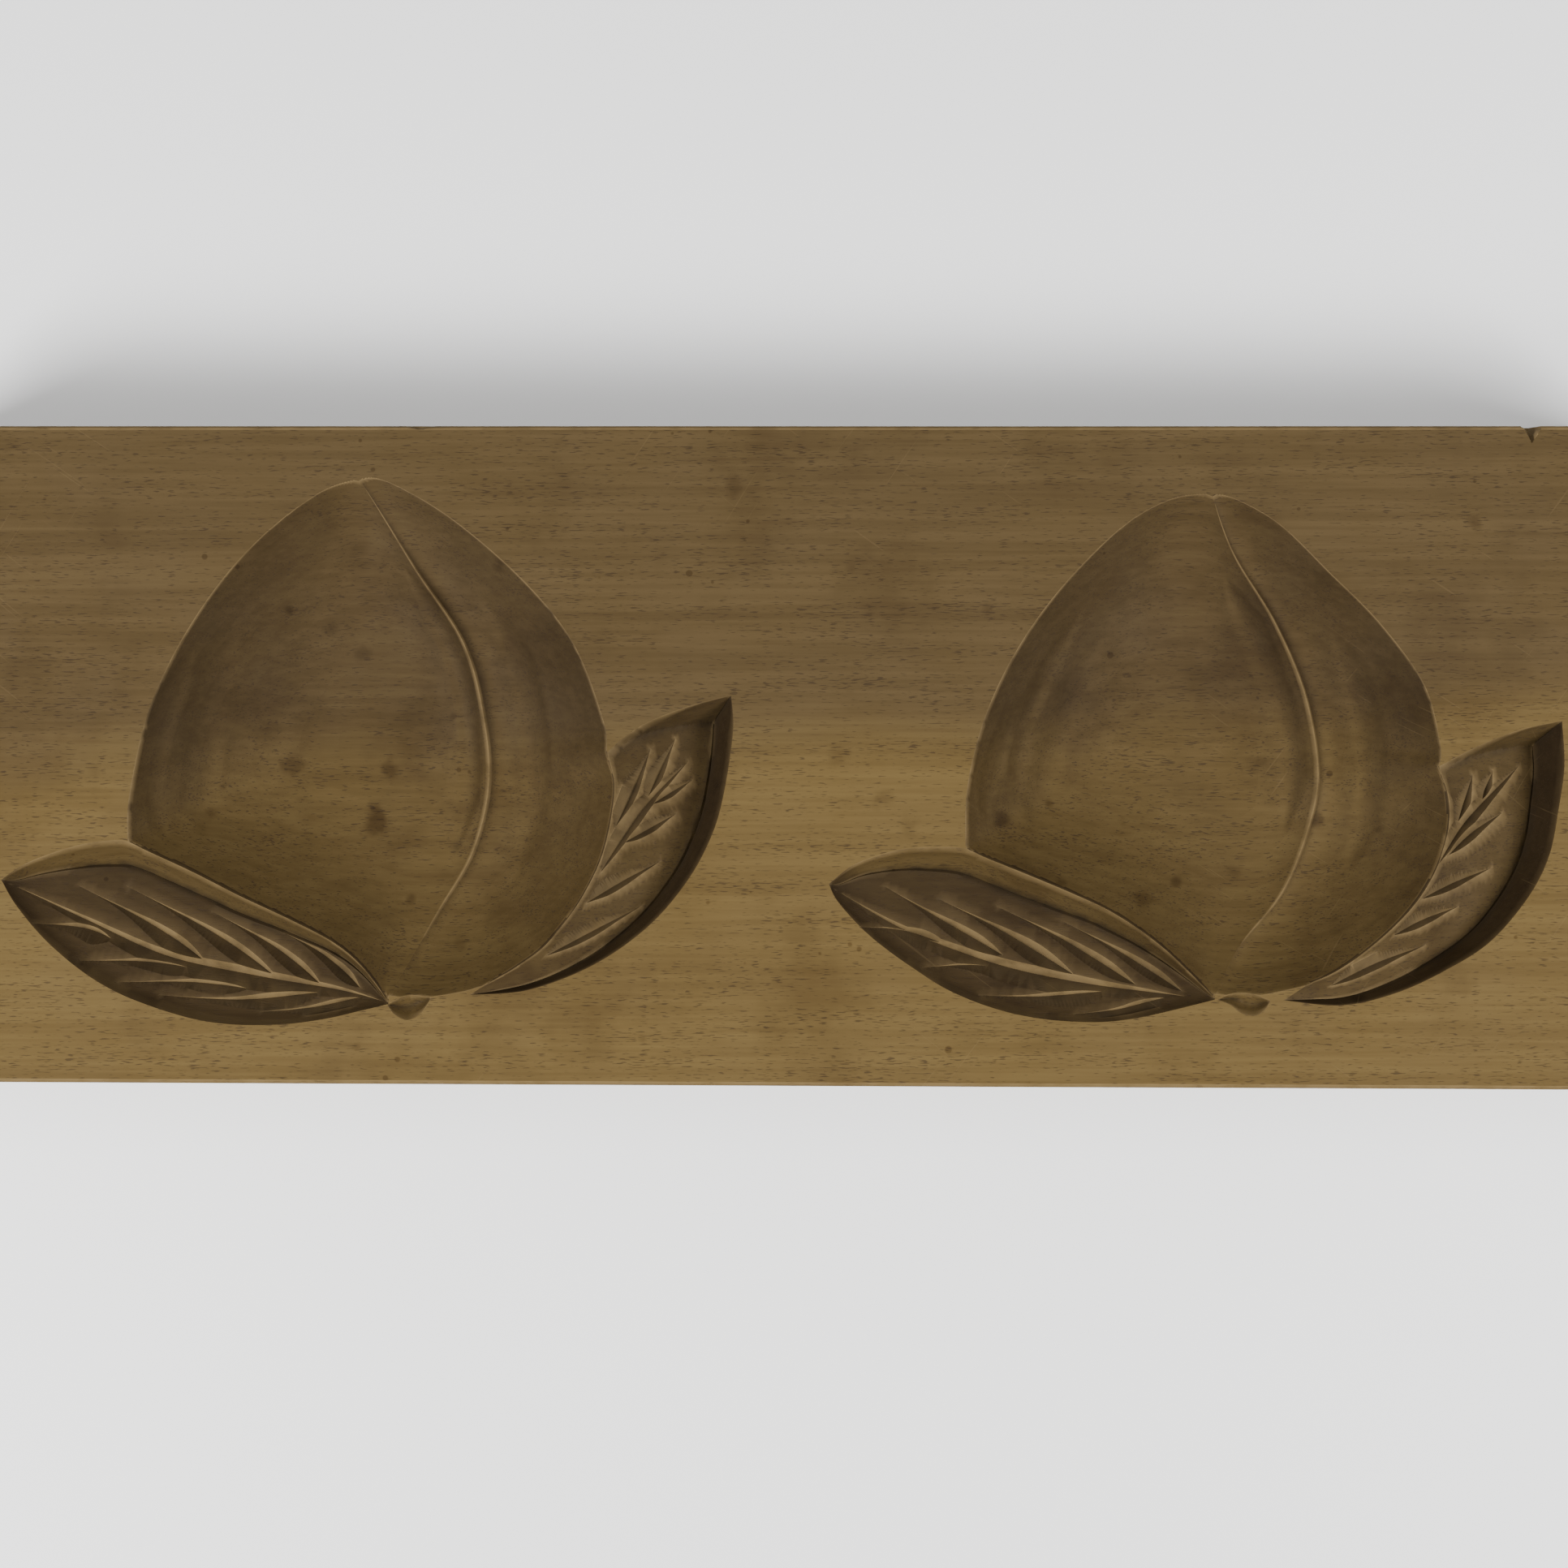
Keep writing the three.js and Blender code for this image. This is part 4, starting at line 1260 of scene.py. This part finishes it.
def spot_group() -> bpy.types.NodeTree:
    """One soft round stain with a ragged edge, at a given place."""
    takes = {
        "Place": Kind.VECTOR, "Centre": Kind.VECTOR, "Radius": Kind.NUMBER, "Strength": Kind.NUMBER,
        "Before": Kind.NUMBER,
    }
    graph, given = new_group("round_stain", takes, {"Mask": Kind.NUMBER})
    flat = graph.stretched(given["Place"], (1, 1, 0.02))
    away = graph.add("ShaderNodeVectorMath", {0: flat, 1: given["Centre"]}, operation="DISTANCE")
    ragged = graph.sum("MULTIPLY", graph.sum("SUBTRACT", graph.noise(flat, 230.0, 4.0), 0.5), 2.4)
    share = graph.sum("ADD", graph.sum("DIVIDE", away.outputs["Value"], given["Radius"]), ragged)
    inside = graph.band(share, 1.3, 0.15)
    mask = graph.sum("MULTIPLY", inside, given["Strength"], clamp=True)
    return give(graph, {"Mask": graph.sum("MAXIMUM", mask, given["Before"])})


@dataclass
class Effects:
    """The shared node groups, built once."""

    grain: bpy.types.NodeTree = field(default_factory=grain_group)
    blotches: bpy.types.NodeTree = field(default_factory=blotch_group)
    patchy_mask: bpy.types.NodeTree = field(default_factory=patchy_mask_group)
    scratches: bpy.types.NodeTree = field(default_factory=scratch_group)
    spot: bpy.types.NodeTree = field(default_factory=spot_group)


# ---------------------------------------------------------------------------------------------
# Finishes
# ---------------------------------------------------------------------------------------------


@dataclass(frozen=True)
class Spot:
    """A round stain: where it is on the board, its radius in millimetres, and how dark it is."""

    x: float
    y: float
    radius: float
    strength: float = 0.7


@dataclass(frozen=True)
class WoodFinish:
    """Old hardwood, darker at its heart, pale at its crests from rubbed wear and a painted highlight, and
    dark in its creases from grime and painted shade.
    """

    name: str
    heart: Colour
    sap: Colour
    oiled: Colour
    pore: Colour
    # The pale crest colour: rubbed wear and a painted highlight along the arrises.
    worn: Colour
    # The dark crease colour: grime and painted shade in the creases and along the feet of the walls.
    grime_and_shade: Colour
    stain: Colour = (0.42, 0.35, 0.27)
    sap_edge: float = 0.004
    sap_blend: float = 0.008
    sap_lean: float = -0.035
    streaks: float = 0.62
    pores: float = 0.65
    clouds: float = 0.65
    specks: float = 0.6
    oil: float = 1.0
    end_grain: float = 0.55
    crest_amount: float = 0.7
    crease_amount: float = 0.8
    roughness: tuple[float, float] = (0.68, 0.80)
    bump: float = 0.35
    scratches: float = 0.35
    sheen: float = 0.10
    spots: tuple[Spot, ...] = ()

    def material(self, effects: Effects) -> bpy.types.Material:
        """Builds the finish.

        Args:
            effects: the shared node groups.

        Returns:
            The material.
        """
        made = bpy.data.materials.new(self.name)
        made.use_nodes = True
        made.node_tree.nodes.clear()
        graph = Graph(made.node_tree)
        place = graph.add("ShaderNodeTexCoord").outputs["Object"]
        names = ("crest", "crease", "hollow", "end_grain")
        masks = {name: self.mask(graph, name) for name in names}
        hollow = graph.sum("MULTIPLY", masks["hollow"], self.oil, clamp=True)
        base = graph.mix(hollow, self.heart_to_sap(graph, place), self.oiled)
        thirsty = graph.band(masks["end_grain"], 0.12, 0.85, (0.0, self.end_grain))
        base = graph.mix(thirsty, base, (0.30, 0.26, 0.22), "MULTIPLY")
        dark = graph.mix(1.0, base, (0.60, 0.55, 0.48), "MULTIPLY")
        grain = self.use(graph, effects.grain, {
            "Place": place, "Light": base, "Dark": dark, "Pore": opaque(self.pore),
            "Streaks": self.streaks, "Pores": self.pores,
        })
        blotches = self.use(graph, effects.blotches, {
            "Place": place, "Base": grain.outputs["Color"], "Stain": opaque(self.stain),
            "Clouds": graph.sum("MULTIPLY", graph.band(masks["hollow"], 0, 1, (0.55, 1.0)), self.clouds),
            "Specks": self.specks,
        })
        colour = blotches.outputs["Color"]
        if self.spots:
            colour = graph.mix(self.stains(graph, effects, place), colour, self.stain, "MULTIPLY")
        # Creases are darkened with the crease colour, which is both grime and painted shade.
        grime_and_shade = self.patchy(graph, effects, place, masks["crease"], 260.0, 0.7)
        colour = graph.mix(graph.sum("MULTIPLY", grime_and_shade, self.crease_amount), colour, self.grime_and_shade)
        # Crests and rims are lightened with the pale colour, which is both rubbed wear and a painted
        # highlight, and less of it inside the oiled hollows.
        worn = self.patchy(graph, effects, place, masks["crest"], 190.0, 0.5)
        kept = graph.band(masks["hollow"], 0.6, 0.95, (self.crest_amount, 0.3 * self.crest_amount))
        colour = graph.mix(graph.sum("MULTIPLY", worn, kept), colour, self.worn)
        scratched = self.use(graph, effects.scratches, {"Place": place, "Amount": self.scratches})
        nicks = scratched.outputs["Mask"]
        colour = graph.mix(graph.sum("MULTIPLY", nicks, 0.25), colour, self.worn)
        height = graph.sum("SUBTRACT", grain.outputs["Height"], graph.sum("MULTIPLY", nicks, 1.2))
        bump = graph.add("ShaderNodeBump", {"Strength": self.bump, "Distance": 0.12 * MM, "Height": height})
        rough = graph.band(graph.noise(place, 60.0, 3.0), 0.3, 0.7, self.roughness)
        shader = graph.add("ShaderNodeBsdfPrincipled", {
            "Base Color": colour, "Roughness": rough, "Specular IOR Level": self.sheen,
            "Normal": bump.outputs[0],
        })
        end = graph.add("ShaderNodeOutputMaterial")
        made.node_tree.links.new(shader.outputs[0], end.inputs["Surface"])
        return made

    def heart_to_sap(self, graph: Graph, place: Socket) -> Socket:
        """The wood's own colour: heartwood at the back, sapwood at the front."""
        parts = graph.add("ShaderNodeSeparateXYZ", {0: place})
        waver = graph.noise(graph.stretched(place, (7, 22, 22)), 1.0, 3.0)
        waver = graph.sum("MULTIPLY", graph.sum("SUBTRACT", waver, 0.5), 0.022)
        edge = graph.sum("ADD", parts.outputs["Y"], waver)
        edge = graph.sum("ADD", edge, graph.sum("MULTIPLY", parts.outputs["X"], self.sap_lean))
        heart = graph.band(edge, self.sap_edge - self.sap_blend, self.sap_edge + self.sap_blend)
        return graph.mix(heart, self.sap, self.heart)

    def stains(self, graph: Graph, effects: Effects, place: Socket) -> Socket:
        """One mask of all the round stains."""
        mask: Socket | float = 0.0
        for spot in self.spots:
            centre = (spot.x * MM, spot.y * MM, 0.0)
            mask = self.use(graph, effects.spot, {
                "Place": place, "Centre": centre, "Radius": spot.radius * MM, "Strength": spot.strength,
                "Before": mask,
            }).outputs["Mask"]
        return mask

    @staticmethod
    def mask(graph: Graph, name: str) -> Socket:
        """One of the masks stored on the mesh."""
        return graph.add("ShaderNodeAttribute", attribute_name=name).outputs["Fac"]

    @staticmethod
    def use(graph: Graph, group: bpy.types.NodeTree, inputs: dict) -> bpy.types.Node:
        """A shared node group with its inputs."""
        node = graph.add("ShaderNodeGroup", node_tree=group)
        for name, value in inputs.items():
            if isinstance(value, bpy.types.NodeSocket):
                graph.tree.links.new(value, node.inputs[name])
            else:
                node.inputs[name].default_value = value
        return node

    def patchy(
        self, graph: Graph, effects: Effects, place: Socket, mask: Socket, size: float, broken: float,
    ) -> Socket:
        """A mask from the mesh, broken up into patches by the patchy mask group."""
        inputs = {"Place": place, "Mask": mask, "Size": size, "Broken": broken}
        return self.use(graph, effects.patchy_mask, inputs).outputs["Mask"]


BOARD_SPOTS = (
    Spot(-89, -13.8, 3.4, 0.8), Spot(-87, -2.3, 2.4, 0.6), Spot(-107, 31.5, 1.3), Spot(-124, -12.3, 2.0),
    Spot(-121.5, -6.6, 1.2), Spot(-107.5, -1.8, 2.6, 0.55), Spot(-72.3, 8.8, 1.2), Spot(-98.9, 28, 1.8, 0.5),
    Spot(-92, 22.6, 2.0, 0.4), Spot(-60.3, 40.6, 1.5, 0.5), Spot(-81, -31, 1.2, 0.6),
    Spot(-70, -40, 1.8, 0.4),
    Spot(-157, 10.2, 1.1), Spot(-10.5, 57.3, 2.6, 0.45), Spot(42.8, 30.8, 1.6, 0.6), Spot(146.2, 49.2, 1.7),
    Spot(-90.4, -61.6, 1.1, 0.7), Spot(26.1, -15.2, 2.6, 0.4), Spot(11.9, -0.6, 3.0, 0.35),
    Spot(21.3, -9.2, 2.4, 0.35), Spot(121.8, -51.3, 1.6, 0.5), Spot(143.3, -48.7, 3.4, 0.3),
    Spot(47, -13.5, 2.0, 0.8), Spot(58.7, -26.9, 1.6), Spot(76.3, -30.7, 2.6, 0.6), Spot(73.7, -14.3, 1.4),
    Spot(97.7, -24.6, 2.4, 0.5), Spot(57.4, -10, 1.1), Spot(85, -27, 1.3, 0.6), Spot(115.8, -13.5, 1.8),
    Spot(128.7, -16, 1.4, 0.6), Spot(103.5, -1.5, 2.2, 0.5), Spot(-148.2, -37.9, 1.6, 0.9),
    Spot(-30, -60, 1.0, 0.5), Spot(14, 40, 1.4, 0.4), Spot(-146, -3.5, 1.6, 0.4), Spot(168, -30, 2.0, 0.4),
)

BOARD_FINISH = WoodFinish(
    name="board_wood",
    heart=(0.073, 0.0485, 0.0195),
    sap=(0.107, 0.0710, 0.0245),
    oiled=(0.034, 0.0213, 0.0080),
    pore=(0.026, 0.016, 0.008),
    worn=(0.190, 0.130, 0.058),
    grime_and_shade=(0.018, 0.012, 0.006),
    spots=BOARD_SPOTS,
)

FRAME_FINISH = WoodFinish(
    name="frame_wood",
    heart=(0.080, 0.053, 0.023),
    sap=(0.112, 0.074, 0.028),
    oiled=(0.085, 0.056, 0.023),
    pore=(0.024, 0.015, 0.008),
    worn=(0.215, 0.150, 0.073),
    grime_and_shade=(0.020, 0.013, 0.007),
    sap_edge=-0.03,
    sap_blend=0.02,
    clouds=0.3,
    oil=0.5,
)

PEG_FINISH = WoodFinish(
    name="peg_wood",
    heart=(0.175, 0.115, 0.045),
    sap=(0.200, 0.135, 0.055),
    oiled=(0.175, 0.115, 0.045),
    pore=(0.07, 0.045, 0.02),
    worn=(0.29, 0.21, 0.11),
    grime_and_shade=(0.035, 0.022, 0.012),
    clouds=0.2,
    roughness=(0.38, 0.5),
)


# ---------------------------------------------------------------------------------------------
# Pieces
# ---------------------------------------------------------------------------------------------


def finish_piece(
    piece: bpy.types.Object, finish: WoodFinish, effects: Effects, leaves: tuple[LeafOilAndPaintedLight, ...] = (),
) -> None:
    """Marks, shades and dresses a finished wooden piece.

    Args:
        piece: the piece.
        finish: its finish.
        effects: the shared node groups.
        leaves: the hollows that hold the most oil and dirt, with their lamp-facing flanks painted lighter.
    """
    SurfaceMarks(piece, leaves).write()
    shade(piece)
    piece.data.materials.clear()
    piece.data.materials.append(finish.material(effects))
    log.info("%s has %d triangles", piece.name, triangle_count(piece))


def triangle_count(piece: bpy.types.Object) -> int:
    """How many triangles a piece has."""
    return sum(len(p.vertices) - 2 for p in piece.data.polygons)


@dataclass
class CarvedBoard:
    """The thick board with the carving in its upper face."""

    node: str = "carved_board"
    body: str = "carved"
    slot: str = "board_wood"
    hole_radius: float = 4 * MM
    hole_inset: float = 16 * MM
    chips: tuple[EdgeChip, ...] = (
        EdgeChip(158.3 * MM, 5.6 * MM, 3.6 * MM, 5 * MM, lean=0.25, seed=4),
        EdgeChip(-77 * MM, 13 * MM, 0.9 * MM, 1.6 * MM, seed=9),
    )

    def build(self, effects: Effects) -> bpy.types.Object:
        """Makes, carves and dresses the board."""
        low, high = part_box(self.node)
        board = Plank(self.node, seed=3).build("board_carved")
        cutters: list[bpy.types.Object] = []
        leaves: list[LeafOilAndPaintedLight] = []
        for motif in (LEFT_MOTIF, RIGHT_MOTIF):
            carved = CarvedMotif(motif, face=high.z)
            cutters += carved.cutters()
            leaves += carved.leaf_oil_and_light()
        for x in (low.x + self.hole_inset, high.x - self.hole_inset):
            cutters.append(PegHole(x, self.hole_radius, low.z - 5 * MM, high.z + 5 * MM).cutter())
        cutters += [chip.cutter(high.y, high.z) for chip in self.chips]
        carve(board, cutters)
        finish_piece(board, BOARD_FINISH, effects, tuple(leaves))
        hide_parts(self.node)
        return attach(board, self.body)


@dataclass
class FrameBoard:
    """The thinner board, open where the motifs are, lying turned over beneath the carved one."""

    node: str = "frame_board"
    body: str = "frame"
    slot: str = "frame_wood"
    socket_radius: float = 3.8 * MM
    socket_floor: float = 2 * MM
    hole_inset: float = 16 * MM
    draft: float = 0.7 * MM

    def build(self, effects: Effects) -> bpy.types.Object:
        """Makes, cuts and dresses the board."""
        low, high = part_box(self.node)
        board = Plank(self.node, seed=8, ease=0.7 * MM).build("board_frame")
        cutters = [self.opening(motif, low.z, high.z) for motif in (LEFT_MOTIF, RIGHT_MOTIF)]
        for x in (low.x + self.hole_inset, high.x - self.hole_inset):
            floor = low.z + self.socket_floor
            cutters.append(PegHole(x, self.socket_radius, floor, high.z + 5 * MM).cutter())
        carve(board, cutters)
        finish_piece(board, FRAME_FINISH, effects)
        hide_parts(self.node)
        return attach(board, self.body)

    def opening(self, motif: Motif, bottom: float, top: float) -> bpy.types.Object:
        """The cutter for one opening, mirrored as the board is turned over, wider underneath."""
        outline = CarvedMotif(motif, face=top).silhouette()[:-1] * (1, -1)
        middle = outline.mean(axis=0)
        bm = bmesh.new()
        bmesh.ops.create_circle(bm, cap_ends=True, segments=len(outline), radius=1)
        bm.verts.ensure_lookup_table()
        for vertex, (x, y) in zip(bm.verts, outline):
            vertex.co = (x, y, top + 5 * MM)
        drawn = bmesh.ops.extrude_face_region(bm, geom=bm.faces[:])
        for vertex in (g for g in drawn["geom"] if isinstance(g, bmesh.types.BMVert)):
            outward = (Vector((vertex.co.x, vertex.co.y)) - Vector(middle)).normalized() * self.draft
            vertex.co = (vertex.co.x + outward.x, vertex.co.y + outward.y, bottom - 5 * MM)
        bmesh.ops.recalc_face_normals(bm, faces=bm.faces[:])
        return object_from(bm, f"{motif.name}_opening")


@dataclass
class LocatingPeg:
    """A dowel, turned from a thin profile, standing in the frame board."""

    node: str
    body: str = "frame"
    slot: str = "peg_wood"
    tip: float = 1.2 * MM
    sides: int = 48

    def build(self, effects: Effects) -> bpy.types.Object:
        """Makes and dresses the peg."""
        low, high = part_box(self.node)
        radius = (high.x - low.x) / 2
        middle = (low + high) / 2
        profile = [
            (0, low.z), (radius - 0.3 * MM, low.z), (radius, low.z + 0.3 * MM),
            (radius, low.z + 9 * MM), (radius * 0.985, high.z - self.tip),
            (radius - 0.45 * self.tip, high.z - 0.45 * self.tip), (radius - self.tip, high.z), (0, high.z),
        ]
        bm = bmesh.new()
        ring = [bm.verts.new((r, 0, z)) for r, z in profile]
        edges = [bm.edges.new(pair) for pair in zip(ring, ring[1:])]
        bmesh.ops.spin(
            bm, geom=ring + edges, axis=(0, 0, 1), cent=(0, 0, 0), angle=math.tau, steps=self.sides,
            use_merge=True,
        )
        bmesh.ops.remove_doubles(bm, verts=bm.verts[:], dist=1e-6)
        bmesh.ops.recalc_face_normals(bm, faces=bm.faces[:])
        bmesh.ops.translate(bm, verts=bm.verts[:], vec=(middle.x, middle.y, 0))
        peg = object_from(bm, self.node.replace("locating_", "dowel_"))
        finish_piece(peg, PEG_FINISH, effects)
        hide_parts(self.node)
        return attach(peg, self.body)


# ---------------------------------------------------------------------------------------------
# Studio
# ---------------------------------------------------------------------------------------------


@dataclass
class Studio:
    """The pale floor, the soft lights and the camera straight above the carving."""

    seen_width: float = 331.9 * MM
    distance: float = 520 * MM
    centre: Point = (0.0, -5.93 * MM)
    floor_size: float = 6.0
    floor_colour: Colour = (0.95, 0.95, 0.945)
    world: float = 0.30

    def build(self) -> None:
        """Sets up everything that isn't part of the object."""
        self.camera()
        self.floor()
        self.background()
        self.lamp("left_lamp", (-0.64, -0.30, 0.57), 0.30, 12.0)
        self.lamp("right_lamp", (0.67, -0.22, 0.57), 0.30, 10.0)
        self.lamp("top_lamp", (0.0, 0.22, 1.35), 0.7, 8.5)

    def camera(self) -> None:
        """The camera looks straight down at the carved face."""
        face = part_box("carved_board")[1].z
        data = bpy.data.cameras.new("camera")
        data.sensor_width = 36
        data.lens = data.sensor_width * self.distance / self.seen_width
        data.clip_start, data.clip_end = 0.01, 20
        made = bpy.data.objects.new("camera", data)
        made.location = (self.centre[0], self.centre[1], face + self.distance)
        bpy.context.scene.collection.objects.link(made)
        bpy.context.scene.camera = made

    def floor(self) -> None:
        """A plain pale floor under the mould."""
        bm = bmesh.new()
        bmesh.ops.create_grid(bm, x_segments=2, y_segments=2, size=self.floor_size / 2)
        made = object_from(bm, "floor")
        made.location.z = -0.2 * MM
        paint = bpy.data.materials.new("floor_paint")
        paint.use_nodes = True
        shader = paint.node_tree.nodes["Principled BSDF"]
        shader.inputs["Base Color"].default_value = (*self.floor_colour, 1)
        shader.inputs["Roughness"].default_value = 0.9
        made.data.materials.append(paint)

    def background(self) -> None:
        """An even pale sky."""
        world = bpy.data.worlds.new("studio")
        world.use_nodes = True
        sky = world.node_tree.nodes["Background"]
        sky.inputs["Color"].default_value = (1, 1, 1, 1)
        sky.inputs["Strength"].default_value = self.world
        bpy.context.scene.world = world

    def lamp(self, name: str, place: tuple[float, float, float], size: float, power: float) -> None:
        """A square soft box aimed at the middle of the mould."""
        data = bpy.data.lights.new(name, "AREA")
        data.size, data.energy = size, power
        made = bpy.data.objects.new(name, data)
        made.location = place
        made.rotation_euler = (-Vector(place)).to_track_quat("-Z", "Y").to_euler()
        bpy.context.scene.collection.objects.link(made)


def main() -> None:
    """Builds the studio, then each piece of the mould."""
    logging.basicConfig(level=logging.INFO, format="%(name)s: %(message)s")
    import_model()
    Studio().build()
    effects = Effects()
    pegs = [LocatingPeg("locating_peg_left"), LocatingPeg("locating_peg_right")]
    pieces = [CarvedBoard(), FrameBoard(), *pegs]
    for piece in pieces:
        made = piece.build(effects)
        log.info("built %s", made.name)


if __name__ == "__main__":
    main()
